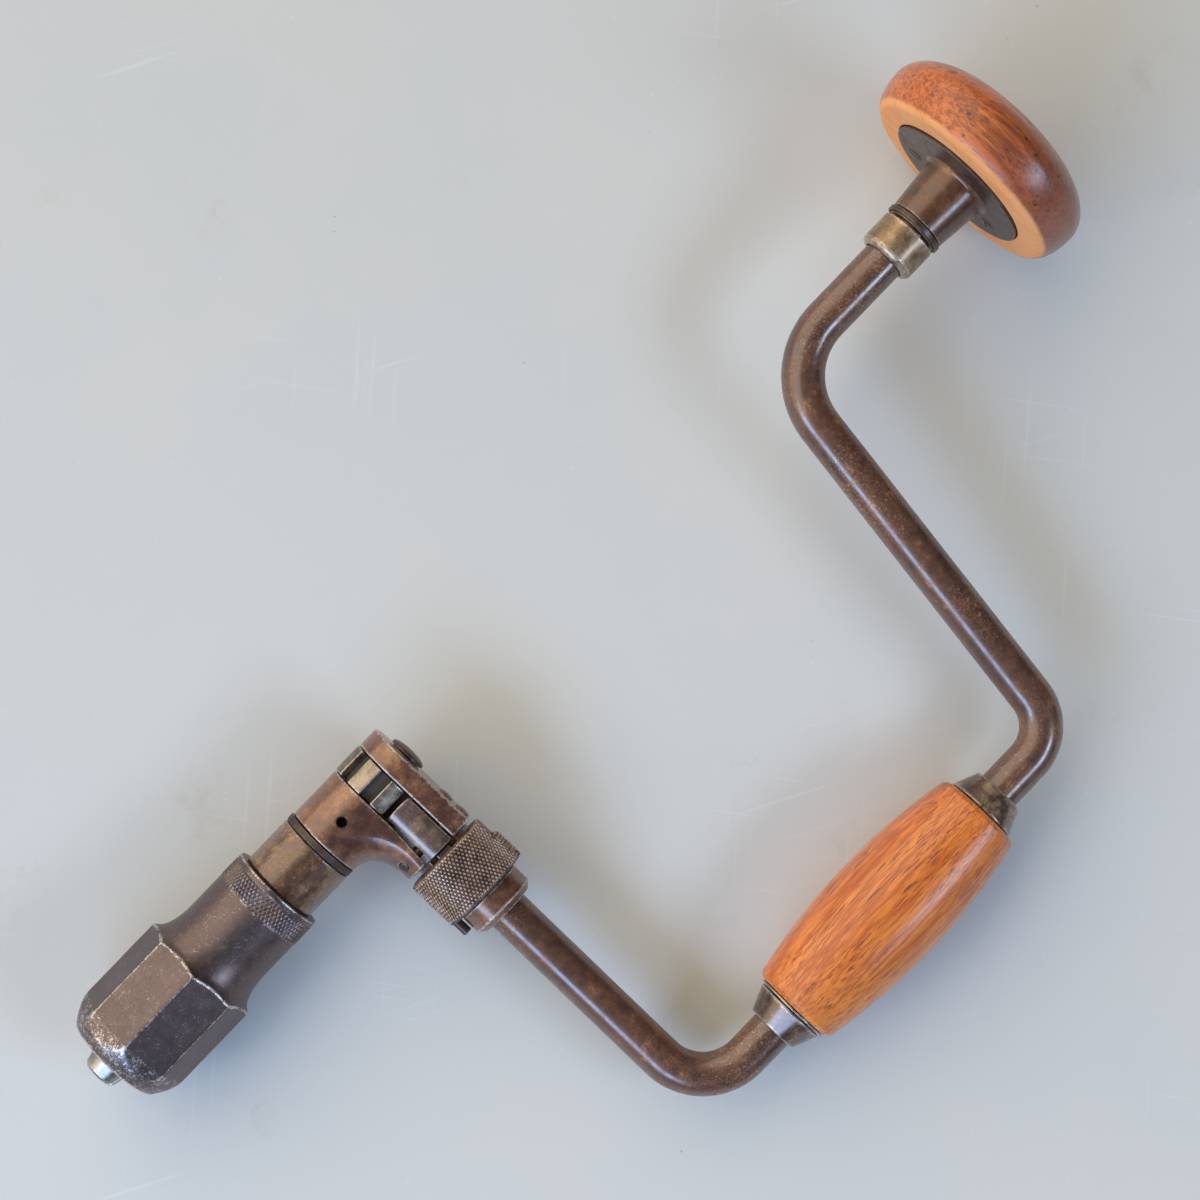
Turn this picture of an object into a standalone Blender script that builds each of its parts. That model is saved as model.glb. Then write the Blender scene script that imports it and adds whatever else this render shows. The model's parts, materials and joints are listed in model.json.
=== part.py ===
"""Ratchet brace: a bent crank with a turning head and grip, a two-pawl ratchet and a screw-down two-jaw chuck.

Metres, +Z up. The brace lies on a table on its chuck's nose, its grip and its head pad. It is modelled in a tool
frame whose X axis is the main axis (chuck to head), whose Z axis is up and whose crank points along -Y, with the
origin where the main axis meets the axis of the lower arm. An empty then lays the whole brace on the table.
"""

import math

import bmesh
import bpy
from mathutils import Matrix, Vector

# Crank
SWEEP_RADIUS = 0.127
ROD_RADIUS = 0.0062
UPPER_CORNER = 0.1434
STEM_CORNER = 0.1612
LOWER_BEND = 0.017
UPPER_BEND = 0.014
STEM_BEND = 0.023

# Fits and facets
FIT = 0.0003
WELD = 0.000001
ROUND_STEPS = 32
SMALL_STEPS = 16
ROD_BEVEL = 6
BEND_STEPS = 8
SWEEP_STEPS = 8
CURVE_STEPS = 4
COIL_STEPS = 10

# Ratchet bracket
SLOT_WIDTH = 0.0096
PLATE_THICKNESS = 0.0063
PLATE_REACH = 0.0249
BOSS_RADIUS = 0.0113
BOSS_LENGTH = 0.0168
WEB_HALF_HEIGHT = 0.0088
WEB_EDGE = 0.0016
WEB_SWEEP_POWER = 0.8
TANG_THICKNESS = 0.0068
TANG_RELIEF = 0.0012
OIL_HOLE_RADIUS = 0.00145
OIL_HOLE_OFFSET = 0.0085
RIVET_RADIUS = 0.0015
RIVET_HEAD_RADIUS = 0.0024
RIVET_HEAD_HEIGHT = 0.0006
RIVET_CROWN_RADIUS = 0.0017
RIVET_CROWN_DROP = 0.00012
RIVET_REACHES = {"plate_rivet_front": 0.0157, "plate_rivet_rear": 0.0219}

# Arm shank and collar
SHANK_RADIUS = 0.0093
TONGUE_HALF_HEIGHT = 0.003
ARM_COLLAR_RADIUS = 0.0102
ARM_COLLAR_LENGTH = 0.0076
ARM_COLLAR_CHAMFER = 0.0018
ARM_PIN_RADIUS = 0.0014
ROD_SEAT_DEPTH = 0.0022

# Selector ring
RING_GAP = 0.0016
RING_RADIUS = 0.014
RING_LENGTH = 0.0159
RING_CHAMFER = 0.0008
RING_NOTCH_DEPTH = 0.0018
RING_NOTCH_LENGTH = 0.0061
CAM_START = 0.0071
CAM_LENGTH = 0.006
CAM_LEAD = math.radians(8.6)
LUG_RADIUS = 0.0014
LUG_OFFSET = 0.0121
LUG_REACH = 0.0044
LUG_DEPTH = 0.004
SELECTOR_SWING = math.radians(40)

# Ratchet wheel and pawls
WHEEL_RADIUS = 0.0117
WHEEL_ROOT_RADIUS = 0.0092
WHEEL_TEETH = 8
TOOTH_ANGLE = math.radians(25)
PAWL_SWING = math.radians(5.5)
PAWL_PIVOT_REACH = 0.021
PAWL_PIVOT_HEIGHT = 0.0062
PAWL_PIN_RADIUS = 0.0014
PAWL_TIP_CLEARANCE = 0.00034
PAWL_TIP_ANGLE = math.radians(41.6)
PAWL_TIP_HEIGHT = 0.0006
PAWL_FLOOR_GAP = 0.0004
PAWL_FLOOR_RELIEF = math.radians(1)
PAWL_TAIL_DROP = 0.0017
HEEL_HALF_WIDTH = 0.0024
HEEL_LENGTH = 0.0036
PAWL_SPRING_RADIUS = 0.0014
PAWL_SPRING_WIRE = 0.00025
PAWL_SPRING_TURNS = 3
PAWL_SPRING_DEPTH = 0.0019
DETENT_RADIUS = 0.0012
DETENT_DEPTH = 0.0045

# Spindle
SPINDLE_COLLAR_RADIUS = 0.0117
SPINDLE_COLLAR_LENGTH = 0.0151
JOURNAL_RADIUS = 0.0065
WHEEL_SEAT_RADIUS = 0.0055
TOP_JOURNAL_RADIUS = 0.005
DUST_RING_RADIUS = 0.01178
DUST_RING_THICKNESS = 0.002
CAP_RADIUS = 0.0056
CAP_HEIGHT = 0.0019
CAP_RIM_HEIGHT = 0.0005
CAP_STEPS = 5
CAP_SCREW_RADIUS = 0.0018
CAP_SCREW_LENGTH = 0.006
KEY_WIDTH = 0.002
KEY_HEIGHT = 0.0024
TANG_SOCKET_RADIUS = 0.004
TANG_SOCKET_DEPTH = 0.018

# Chuck shell
SHELL_LENGTH = 0.0654
CORNER_RADIUS = 0.0183
NOSE_RADIUS = 0.0144
NOSE_LENGTH = 0.0078
OCTAGON_LENGTH = 0.0267
FLARE_LENGTH = 0.0105
FLARE_STEPS = 6
NOSE_BULGE = 0.0005
FLAT_COUNT = 8
SLEEVE_RADIUS = 0.0141
SHELL_BORE_RADIUS = 0.0114
THROAT_RADIUS = 0.0067
CONE_ANGLE = math.radians(12.7)
SHELL_TURNS = 3
THREAD_PITCH = 0.003

# Jaws
JAW_REACH = 0.0062
JAW_HEAD_LENGTH = 0.0178
JAW_TAIL_LENGTH = 0.0135
JAW_TAIL_HALF_WIDTH = 0.004
JAW_GAP = 0.0006
JAW_GROOVE = 0.0026
JAW_TIP_EDGE = 0.0007
JAW_ROLL = math.radians(33.5)

# Grip
GRIP_START = 0.036
GRIP_LENGTH = 0.0755
GRIP_RADIUS = 0.0167
GRIP_END_RADIUS = 0.0131
GRIP_EDGE = 0.0012
GRIP_STEPS = 10
FERRULE_LENGTH = 0.0076
FERRULE_RADIUS = 0.01075
FERRULE_NECK_RADIUS = 0.0076
WASHER_THICKNESS = 0.0006
WASHER_RADIUS = 0.0112

# Head
BEARING_START = 0.2046
BEARING_LENGTH = 0.0104
BEARING_RADIUS = 0.0086
BEARING_EDGE = 0.0018
HEAD_GAP = 0.0009
QUILL_LENGTH = 0.0184
QUILL_RADIUS = 0.0087
QUILL_TOP_RADIUS = 0.0102
BAND_LENGTH = 0.0016
BAND_RADIUS = 0.00905
BAND_SEAT_DEPTH = 0.0007
FLANGE_RADIUS = 0.0223
FLANGE_THICKNESS = 0.0024
FLANGE_STAND = 0.0008
PAD_RADIUS = 0.0339
PAD_BASE_RADIUS = 0.0321
PAD_THICKNESS = 0.0226
PAD_RIM_HEIGHT = 0.0098
PAD_DOME_POWER = 0.62
PAD_STEPS = 8
BALL_RADIUS = 0.0012
BALL_CIRCLE = 0.0084
BALL_COUNT = 8
NUT_RADIUS = 0.0105
NUT_THICKNESS = 0.0036
SCREW_CIRCLE = 0.0164
SCREW_COUNT = 3
SCREW_HEAD_RADIUS = 0.0026
SCREW_RADIUS = 0.0013
SCREW_LENGTH = 0.0115

# Places along the main axis, from the slot's middle
BRACKET_FACE = -SLOT_WIDTH / 2
BOSS_FRONT = BRACKET_FACE - BOSS_LENGTH
DUST_RING_FRONT = BOSS_FRONT - FIT - DUST_RING_THICKNESS
COLLAR_BACK = DUST_RING_FRONT - FIT
COLLAR_FRONT = COLLAR_BACK - SPINDLE_COLLAR_LENGTH
SHELL_BACK = COLLAR_FRONT - FIT
SHELL_FRONT = SHELL_BACK - SHELL_LENGTH
OCTAGON_FRONT = SHELL_FRONT + NOSE_LENGTH
OCTAGON_BACK = OCTAGON_FRONT + OCTAGON_LENGTH
JAW_TIP = SHELL_FRONT - JAW_REACH
JAW_SHOULDER = JAW_TIP + JAW_HEAD_LENGTH
JAW_TAIL = JAW_SHOULDER + JAW_TAIL_LENGTH
JAW_TRAVEL = SHELL_TURNS * THREAD_PITCH
SPINDLE_FRONT = JAW_SHOULDER + JAW_TRAVEL + 2 * FIT
PLATE_FACE = SLOT_WIDTH / 2
PLATE_BACK = PLATE_FACE + PLATE_THICKNESS
QUILL_START = BEARING_START + BEARING_LENGTH + HEAD_GAP
FLANGE_FACE = QUILL_START + QUILL_LENGTH
FLANGE_TOP = FLANGE_FACE + FLANGE_THICKNESS
PAD_FACE = FLANGE_FACE + FLANGE_STAND
PAD_TOP = PAD_FACE + PAD_THICKNESS
BALL_PLACE = FLANGE_TOP + FIT + BALL_RADIUS
NUT_START = BALL_PLACE + BALL_RADIUS + FIT
STEM_END = NUT_START + NUT_THICKNESS + FIT

# Places along the lower arm, from the main axis
SHANK_START = PLATE_REACH + FIT
RING_START = PLATE_REACH + RING_GAP
RING_END = RING_START + RING_LENGTH
ARM_COLLAR_START = RING_END + FIT
ARM_COLLAR_END = ARM_COLLAR_START + ARM_COLLAR_LENGTH
SHANK_END = ARM_COLLAR_START - FIT
ROD_SEAT = SHANK_END - ROD_SEAT_DEPTH
CAM_FRONT = RING_START + CAM_START
CAM_BACK = CAM_FRONT + CAM_LENGTH
PAWL_SLOT_END = CAM_BACK - FIT
PAWL_TAIL_END = PAWL_SLOT_END - 3 * FIT
SPRING_REACH = SHANK_START + PAWL_SPRING_RADIUS + 2 * FIT

# Half widths of what runs in the slot between the plates
INNER_HALF_WIDTH = SLOT_WIDTH / 2 - FIT

PARTS = bpy.data.collections.new("ratchet_brace")
CUTTERS = bpy.data.collections.new("cutters")


def clear_scene():
    """Empties the scene and adds the two collections."""
    for thing in list(bpy.data.objects):
        bpy.data.objects.remove(thing, do_unlink=True)
    for group in (PARTS, CUTTERS):
        bpy.context.scene.collection.children.link(group)


def material(name, colour, roughness, metallic):
    """A plain Principled material."""
    finish = bpy.data.materials.new(name)
    finish.use_nodes = True
    shader = finish.node_tree.nodes["Principled BSDF"]
    shader.inputs["Base Color"].default_value = (*colour, 1.0)
    shader.inputs["Roughness"].default_value = roughness
    shader.inputs["Metallic"].default_value = metallic
    return finish


PATINA = material("patina_steel", (0.10, 0.07, 0.06), 0.42, 0.9)
BRACKET_STEEL = material("bracket_steel", (0.17, 0.10, 0.07), 0.45, 0.9)
SHELL_STEEL = material("shell_steel", (0.16, 0.12, 0.10), 0.55, 0.85)
BRIGHT_STEEL = material("bright_steel", (0.55, 0.53, 0.50), 0.3, 1.0)
NICKEL = material("worn_nickel", (0.42, 0.36, 0.27), 0.35, 1.0)
DARK_STEEL = material("dark_steel", (0.09, 0.08, 0.08), 0.5, 0.9)
GRIP_WOOD = material("grip_wood", (0.47, 0.19, 0.05), 0.4, 0.0)
PAD_WOOD = material("pad_wood", (0.33, 0.11, 0.04), 0.35, 0.0)


def empty(name, parent=None, location=(0, 0, 0), rotation=(0, 0, 0)):
    """An empty that carries a sub-assembly's axes."""
    frame = bpy.data.objects.new(name, None)
    frame.parent = parent
    frame.location = location
    frame.rotation_euler = rotation
    PARTS.objects.link(frame)
    return frame


def place(name, mesh, frame, finish=None, location=(0, 0, 0), rotation=(0, 0, 0)):
    """Links a mesh as a part, or as a cutter where it has no finish."""
    thing = bpy.data.objects.new(name, mesh)
    thing.parent = frame
    thing.location = location
    thing.rotation_euler = rotation
    if finish is None:
        thing.hide_render = True
        thing.display_type = "WIRE"
        CUTTERS.objects.link(thing)
    else:
        mesh.materials.append(finish)
        PARTS.objects.link(thing)
    return thing


def turned(name, profile, frame, finish=None, steps=ROUND_STEPS, location=(0, 0, 0), rotation=(0, 0, 0)):
    """A solid turned about local Z from (radius, height) points that run down its outer side."""
    points = [(radius, 0.0, height) for radius, height in profile]
    edges = [(i, i + 1) for i in range(len(points) - 1)]
    if profile[0][0] > 0:
        edges.append((len(points) - 1, 0))
    mesh = bpy.data.meshes.new(name)
    mesh.from_pydata(points, edges, [])
    thing = place(name, mesh, frame, finish, location, rotation)
    screw = thing.modifiers.new("turn", "SCREW")
    screw.axis = "Z"
    screw.angle = math.tau
    screw.steps = steps
    screw.render_steps = steps
    screw.use_merge_vertices = True
    screw.merge_threshold = WELD
    screw.use_smooth_shade = True
    return thing


def cylinder(name, radius, start, end, frame, finish=None, steps=SMALL_STEPS, location=(0, 0, 0), rotation=(0, 0, 0)):
    """A plain cylinder along local Z, as a part or a cutter."""
    shape = bmesh.new()
    bmesh.ops.create_cone(
        shape, cap_ends=True, segments=steps, radius1=radius, radius2=radius, depth=end - start,
        matrix=Matrix.Translation((0, 0, (start + end) / 2)),
    )
    mesh = bpy.data.meshes.new(name)
    shape.to_mesh(mesh)
    shape.free()
    return place(name, mesh, frame, finish, location, rotation)


def box(name, low, high, frame, finish=None, location=(0, 0, 0), rotation=(0, 0, 0)):
    """A box between two corners, as a part or a cutter."""
    low, high = Vector(low), Vector(high)
    size = high - low
    shape = bmesh.new()
    stretch = Matrix.Diagonal((*size, 1.0))
    bmesh.ops.create_cube(shape, size=1.0, matrix=Matrix.Translation((low + high) / 2) @ stretch)
    mesh = bpy.data.meshes.new(name)
    shape.to_mesh(mesh)
    shape.free()
    return place(name, mesh, frame, finish, location, rotation)


def meshed(curve_thing, frame, finish):
    """Turns a curve object into a welded mesh object of the same name and place."""
    name = curve_thing.name
    bpy.context.view_layer.update()
    graph = bpy.context.evaluated_depsgraph_get()
    mesh = bpy.data.meshes.new_from_object(curve_thing.evaluated_get(graph))
    location, rotation = curve_thing.location.copy(), curve_thing.rotation_euler.copy()
    bpy.data.objects.remove(curve_thing, do_unlink=True)
    mesh.materials.clear()
    shape = bmesh.new()
    shape.from_mesh(mesh)
    bmesh.ops.remove_doubles(shape, verts=shape.verts, dist=WELD)
    bmesh.ops.recalc_face_normals(shape, faces=shape.faces)
    shape.to_mesh(mesh)
    shape.free()
    return place(name, mesh, frame, finish, location, rotation)


def prism(name, outline, thickness, frame, finish=None, location=(0, 0, 0), rotation=(0, 0, 0)):
    """A flat outline in local XY with its thickness centred on local Z."""
    curve = bpy.data.curves.new(name, "CURVE")
    curve.dimensions = "2D"
    curve.fill_mode = "BOTH"
    curve.extrude = thickness / 2
    spline = curve.splines.new("POLY")
    spline.points.add(len(outline) - 1)
    for point, (x, y) in zip(spline.points, outline):
        point.co = (x, y, 0, 1)
    spline.use_cyclic_u = True
    thing = bpy.data.objects.new(name, curve)
    thing.location = location
    thing.rotation_euler = rotation
    PARTS.objects.link(thing)
    return meshed(thing, frame, finish)


def tube(name, route, radius, resolution, frame, finish, location=(0, 0, 0), rotation=(0, 0, 0)):
    """A round rod or wire along a route of points, with flat ends."""
    curve = bpy.data.curves.new(name, "CURVE")
    curve.dimensions = "3D"
    curve.bevel_depth = radius
    curve.bevel_resolution = resolution
    curve.use_fill_caps = True
    spline = curve.splines.new("POLY")
    spline.points.add(len(route) - 1)
    for point, place_on_route in zip(spline.points, route):
        point.co = (*place_on_route, 1)
    thing = bpy.data.objects.new(name, curve)
    thing.location = location
    thing.rotation_euler = rotation
    PARTS.objects.link(thing)
    return meshed(thing, frame, finish)


def combine(target, tool, operation="DIFFERENCE"):
    """Cuts, joins or crosses a part with a hidden tool."""
    modifier = target.modifiers.new(tool.name, "BOOLEAN")
    modifier.operation = operation
    modifier.solver = "EXACT"
    modifier.object = tool


def rounded(target, width, segments=2):
    """Rounds a part's sharp edges."""
    bevel = target.modifiers.new("edge", "BEVEL")
    bevel.width = width
    bevel.segments = segments
    bevel.limit_method = "ANGLE"
    bevel.angle_limit = math.radians(50)


def arc(centre, radius, start, end, steps):
    """Points along an arc, angles in radians."""
    x, y = centre
    angles = [start + (end - start) * i / steps for i in range(steps + 1)]
    return [(x + radius * math.cos(a), y + radius * math.sin(a)) for a in angles]


def filleted(corners, radii, steps):
    """A flat route through corners, each inner corner rounded by its own radius."""
    route = [Vector(corners[0])]
    for before, corner, after, radius in zip(corners, corners[1:], corners[2:], radii):
        corner = Vector(corner)
        back = (Vector(before) - corner).normalized()
        ahead = (Vector(after) - corner).normalized()
        half = back.angle(ahead) / 2
        middle = corner + (back + ahead).normalized() * radius / math.sin(half)
        first = corner + back * radius / math.tan(half) - middle
        last = corner + ahead * radius / math.tan(half) - middle
        turn = first.angle(last)
        for i in range(steps + 1):
            share = i / steps
            swung = first * math.sin((1 - share) * turn) + last * math.sin(share * turn)
            route.append(middle + swung / math.sin(turn))
    route.append(Vector(corners[-1]))
    return route


def grip_profile():
    """The grip's barrel, from its head end down to its chuck end, around its bore."""
    bore = ROD_RADIUS + FIT
    top = GRIP_START + GRIP_LENGTH
    half = GRIP_LENGTH / 2 - GRIP_EDGE
    swell = GRIP_RADIUS - GRIP_END_RADIUS
    barrel = []
    for i in range(GRIP_STEPS + 1):
        along = 1 - 2 * i / GRIP_STEPS
        height = GRIP_START + GRIP_LENGTH / 2 + half * along
        barrel.append((GRIP_END_RADIUS + swell * (1 - along * along), height))
    edge_radius = GRIP_END_RADIUS - GRIP_EDGE
    return [(bore, top), (edge_radius, top)] + barrel + [(edge_radius, GRIP_START), (bore, GRIP_START)]


def pad_profile():
    """The head pad, from the top of its dome down to its flat underside, with the recesses under it."""
    rim = PAD_FACE + PAD_RIM_HEIGHT
    dome = []
    for i in range(PAD_STEPS + 1):
        angle = math.pi / 2 * (1 - i / PAD_STEPS)
        radius = PAD_RADIUS * math.cos(angle) ** PAD_DOME_POWER
        dome.append((radius if i else 0.0, rim + (PAD_TOP - rim) * math.sin(angle)))
    under = []
    for i in range(1, CURVE_STEPS + 1):
        angle = math.pi / 2 * i / CURVE_STEPS
        radius = PAD_BASE_RADIUS + (PAD_RADIUS - PAD_BASE_RADIUS) * math.cos(angle)
        under.append((radius, rim - PAD_RIM_HEIGHT * math.sin(angle)))
    seat = FLANGE_RADIUS + FIT
    well = NUT_RADIUS + 3 * FIT
    floor = FLANGE_TOP + FIT
    roof = STEM_END + 3 * FIT
    return dome + under + [(seat, PAD_FACE), (seat, floor), (well, floor), (well, roof), (0.0, roof)]


def lowest(profile, side, normal):
    """The point of a shape turned about the main direction that lies farthest against the normal."""
    across = Vector((0, normal.y, normal.z)).normalized()
    points = [Vector((height, side, 0)) - radius * across for radius, height in profile]
    return min(points, key=normal.dot)


def table_rotation():
    """The turn from the tool frame to the table, found from the three places the brace lies on."""
    normal = Vector((0, 0, 1))
    chuck = Vector((OCTAGON_FRONT, 0, -CORNER_RADIUS))
    for _ in range(40):
        head = lowest(pad_profile(), 0, normal)
        grip = lowest(grip_profile(), -SWEEP_RADIUS, normal)
        normal = (chuck - grip).cross(head - grip).normalized()
        if normal.z < 0:
            normal.negate()
    along = (Vector((1, 0, 0)) - normal.x * normal).normalized()
    return Matrix((along, normal.cross(along), normal))


def make_crank(tool):
    """The bent rod from the lower arm's seat to the stem in the head."""
    corners = [
        (0, -ROD_SEAT - FIT, 0), (0, -SWEEP_RADIUS, 0), (UPPER_CORNER, -SWEEP_RADIUS, 0),
        (STEM_CORNER, 0, 0), (STEM_END, 0, 0),
    ]
    route = filleted(corners, (LOWER_BEND, UPPER_BEND, STEM_BEND), BEND_STEPS)
    rod = tube("crank_rod", route, ROD_RADIUS, ROD_BEVEL, tool, PATINA)
    combine(rod, arm_pin_hole("rod_pin_hole", tool))


def arm_pin_hole(name, tool):
    """The hole for the pin that holds the arm collar on the rod, from below."""
    middle = -(ARM_COLLAR_START + ARM_COLLAR_END) / 2
    deep = ROD_RADIUS / 2 + FIT
    radius = ARM_PIN_RADIUS + FIT
    return cylinder(name, radius, -2 * ARM_COLLAR_RADIUS, deep, tool, location=(0, middle, 0))


def make_arm_collar(arm, tool):
    """The collar behind the selector ring and the pin through it."""
    bore = ROD_RADIUS + FIT
    end, start = ARM_COLLAR_END, ARM_COLLAR_START
    profile = [
        (bore, end), (ARM_COLLAR_RADIUS - ARM_COLLAR_CHAMFER, end),
        (ARM_COLLAR_RADIUS, end - ARM_COLLAR_CHAMFER), (ARM_COLLAR_RADIUS, start), (bore, start),
    ]
    collar = turned("arm_collar", profile, arm, BRACKET_STEEL)
    combine(collar, arm_pin_hole("collar_pin_hole", tool))
    middle = -(start + end) / 2
    low = -ARM_COLLAR_RADIUS + FIT
    cylinder("arm_pin", ARM_PIN_RADIUS, low, ROD_RADIUS / 2, tool, DARK_STEEL, location=(0, middle, 0))


def make_arm_shank(arm):
    """The round core under the selector ring, with pawl slots and a tongue between the plates."""
    length = SHANK_END - SHANK_START
    shank = cylinder("arm_shank", SHANK_RADIUS, SHANK_START, SHANK_END, arm, BRACKET_STEEL, ROUND_STEPS)
    tip = WHEEL_RADIUS + 3 * FIT
    tongue_low = (-INNER_HALF_WIDTH, -TONGUE_HALF_HEIGHT, tip)
    tongue_high = (INNER_HALF_WIDTH, TONGUE_HALF_HEIGHT, SHANK_START + length / 2)
    combine(shank, box("tongue", tongue_low, tongue_high, arm), "UNION")
    for side, name in ((1, "upper_pawl_slot"), (-1, "lower_pawl_slot")):
        floors = sorted((side * TONGUE_HALF_HEIGHT, side * 2 * SHANK_RADIUS))
        slot_low = (-SLOT_WIDTH / 2, floors[0], SHANK_START - length)
        slot_high = (SLOT_WIDTH / 2, floors[1], PAWL_SLOT_END)
        combine(shank, box(name, slot_low, slot_high, arm))
    combine(shank, cylinder("rod_seat", ROD_RADIUS + FIT, ROD_SEAT, SHANK_END + length, arm, steps=ROUND_STEPS))
    for name, reach in RIVET_REACHES.items():
        combine(shank, cross_hole(name + "_tongue_hole", RIVET_RADIUS, 0, reach, arm))
    pocket = PAWL_SPRING_RADIUS + PAWL_SPRING_WIRE + FIT
    for side, name in ((1, "upper_spring_pocket"), (-1, "lower_spring_pocket")):
        floor = TONGUE_HALF_HEIGHT - PAWL_SPRING_DEPTH
        combine(shank, cylinder(
            name, pocket, floor, SHANK_RADIUS, arm, location=(0, 0, SPRING_REACH), rotation=(-side * math.pi / 2, 0, 0),
        ))
    combine(shank, cylinder(
        "detent_hole", DETENT_RADIUS + FIT, SHANK_RADIUS - DETENT_DEPTH, 2 * SHANK_RADIUS, arm,
        location=(0, 0, SPRING_REACH), rotation=(0, -math.pi / 2, 0),
    ))


def cross_hole(name, radius, height, reach, arm):
    """A hole through the plates and the tongue, along the main axis."""
    half = 2 * BOSS_LENGTH
    return cylinder(name, radius + FIT, -half, half, arm, location=(0, height, reach), rotation=(0, math.pi / 2, 0))


def make_detent(arm):
    """The ball and coil that hold the selector ring where it is put."""
    turn = (0, -math.pi / 2, 0)
    ball = bmesh.new()
    bmesh.ops.create_uvsphere(ball, u_segments=12, v_segments=8, radius=DETENT_RADIUS)
    mesh = bpy.data.meshes.new("detent_ball")
    ball.to_mesh(mesh)
    ball.free()
    middle = SHANK_RADIUS - DETENT_RADIUS
    place("detent_ball", mesh, arm, BRIGHT_STEEL, (-middle, 0, SPRING_REACH))
    start = SHANK_RADIUS - DETENT_DEPTH + FIT + PAWL_SPRING_WIRE
    end = middle - DETENT_RADIUS - FIT - PAWL_SPRING_WIRE
    route = coil(DETENT_RADIUS - PAWL_SPRING_WIRE, start, end, PAWL_SPRING_TURNS - 1)
    tube("detent_spring", route, PAWL_SPRING_WIRE, 1, arm, BRIGHT_STEEL, (0, 0, SPRING_REACH), turn)


def coil(radius, start, end, turns):
    """A helix about local Z."""
    count = COIL_STEPS * turns
    points = []
    for i in range(count + 1):
        angle = math.tau * turns * i / count
        points.append((radius * math.cos(angle), radius * math.sin(angle), start + (end - start) * i / count))
    return points


def make_lower_bracket(main, arm, tool):
    """The boss that carries the spindle, with a web swept into the tang beside the lower arm."""
    bore = JOURNAL_RADIUS + FIT
    profile = [(bore, BRACKET_FACE), (BOSS_RADIUS, BRACKET_FACE), (BOSS_RADIUS, BOSS_FRONT), (bore, BOSS_FRONT)]
    bracket = turned("lower_bracket", profile, main, BRACKET_STEEL)
    inner = BRACKET_FACE - FIT / 3
    outer = BRACKET_FACE - TANG_RELIEF - TANG_THICKNESS
    root = BOSS_RADIUS + FIT
    rise = PLATE_REACH - root
    run = outer - (BOSS_FRONT + FIT)
    sweep = []
    for i in range(SWEEP_STEPS + 1):
        angle = math.pi / 2 * i / SWEEP_STEPS
        swept = PLATE_REACH - rise * math.cos(angle) ** WEB_SWEEP_POWER
        sweep.append((outer - run * (1 - math.sin(angle)), swept))
    foot = JOURNAL_RADIUS + 2 * FIT
    outline = [(inner, foot), (BOSS_FRONT + FIT, foot)] + sweep
    outline += [(BRACKET_FACE - TANG_RELIEF, PLATE_REACH), (inner, root)]
    web = prism("bracket_web", outline, 2 * WEB_HALF_HEIGHT, arm, rotation=(math.pi / 2, 0, 0))
    rounded(web, WEB_EDGE)
    combine(bracket, web, "UNION")
    oil_place = (BRACKET_FACE - OIL_HOLE_OFFSET, 0, 0)
    combine(bracket, cylinder("oil_hole", OIL_HOLE_RADIUS, 0, 2 * BOSS_RADIUS, tool, location=oil_place))
    drill_for_fasteners(bracket, "bracket", arm)


def make_upper_plate(main, arm):
    """The plate on the head side of the ratchet wheel."""
    half = WEB_HALF_HEIGHT + WEB_EDGE / 2
    wrap = math.asin(half / BOSS_RADIUS)
    outline = [(PLATE_REACH, -half), (PLATE_REACH, half)]
    outline += arc((0, 0), BOSS_RADIUS, wrap, math.tau - wrap, ROUND_STEPS)
    middle = (PLATE_FACE + PLATE_BACK) / 2
    plate = prism(
        "upper_plate", outline, PLATE_THICKNESS, arm, BRACKET_STEEL, (middle, 0, 0), (0, -math.pi / 2, 0),
    )
    half_slot = SLOT_WIDTH / 2
    bore = TOP_JOURNAL_RADIUS + FIT
    combine(plate, cylinder("plate_bore", bore, half_slot - FIT, 2 * PLATE_BACK, main, steps=ROUND_STEPS))
    drill_for_fasteners(plate, "plate", arm)


def drill_for_fasteners(target, name, arm):
    """The rivet and pawl pin holes through a plate."""
    for rivet, reach in RIVET_REACHES.items():
        combine(target, cross_hole(name + "_" + rivet + "_hole", RIVET_RADIUS, 0, reach, arm))
    for side, label in ((1, "upper"), (-1, "lower")):
        hole_name = name + "_" + label + "_pin_hole"
        height = side * PAWL_PIVOT_HEIGHT
        combine(target, cross_hole(hole_name, PAWL_PIN_RADIUS, height, PAWL_PIVOT_REACH, arm))


def make_fasteners(arm):
    """The plate rivets, with heads on the head side, and the pawl pins."""
    foot = BRACKET_FACE - TANG_RELIEF - TANG_THICKNESS + 2 * FIT
    shoulder = PLATE_BACK + FIT
    crown = shoulder + RIVET_HEAD_HEIGHT
    for name, reach in RIVET_REACHES.items():
        profile = [
            (0.0, crown), (RIVET_CROWN_RADIUS, crown - RIVET_CROWN_DROP), (RIVET_HEAD_RADIUS, shoulder),
            (RIVET_RADIUS, shoulder), (RIVET_RADIUS, foot), (0.0, foot),
        ]
        turned(name, profile, arm, BRACKET_STEEL, SMALL_STEPS, (0, 0, reach), (0, math.pi / 2, 0))
    for side, label in ((1, "upper"), (-1, "lower")):
        place_on_arm = (0, side * PAWL_PIVOT_HEIGHT, PAWL_PIVOT_REACH)
        cylinder(
            "pawl_pin_" + label, PAWL_PIN_RADIUS, foot, PLATE_BACK - FIT, arm, DARK_STEEL,
            location=place_on_arm, rotation=(0, math.pi / 2, 0),
        )


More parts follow.
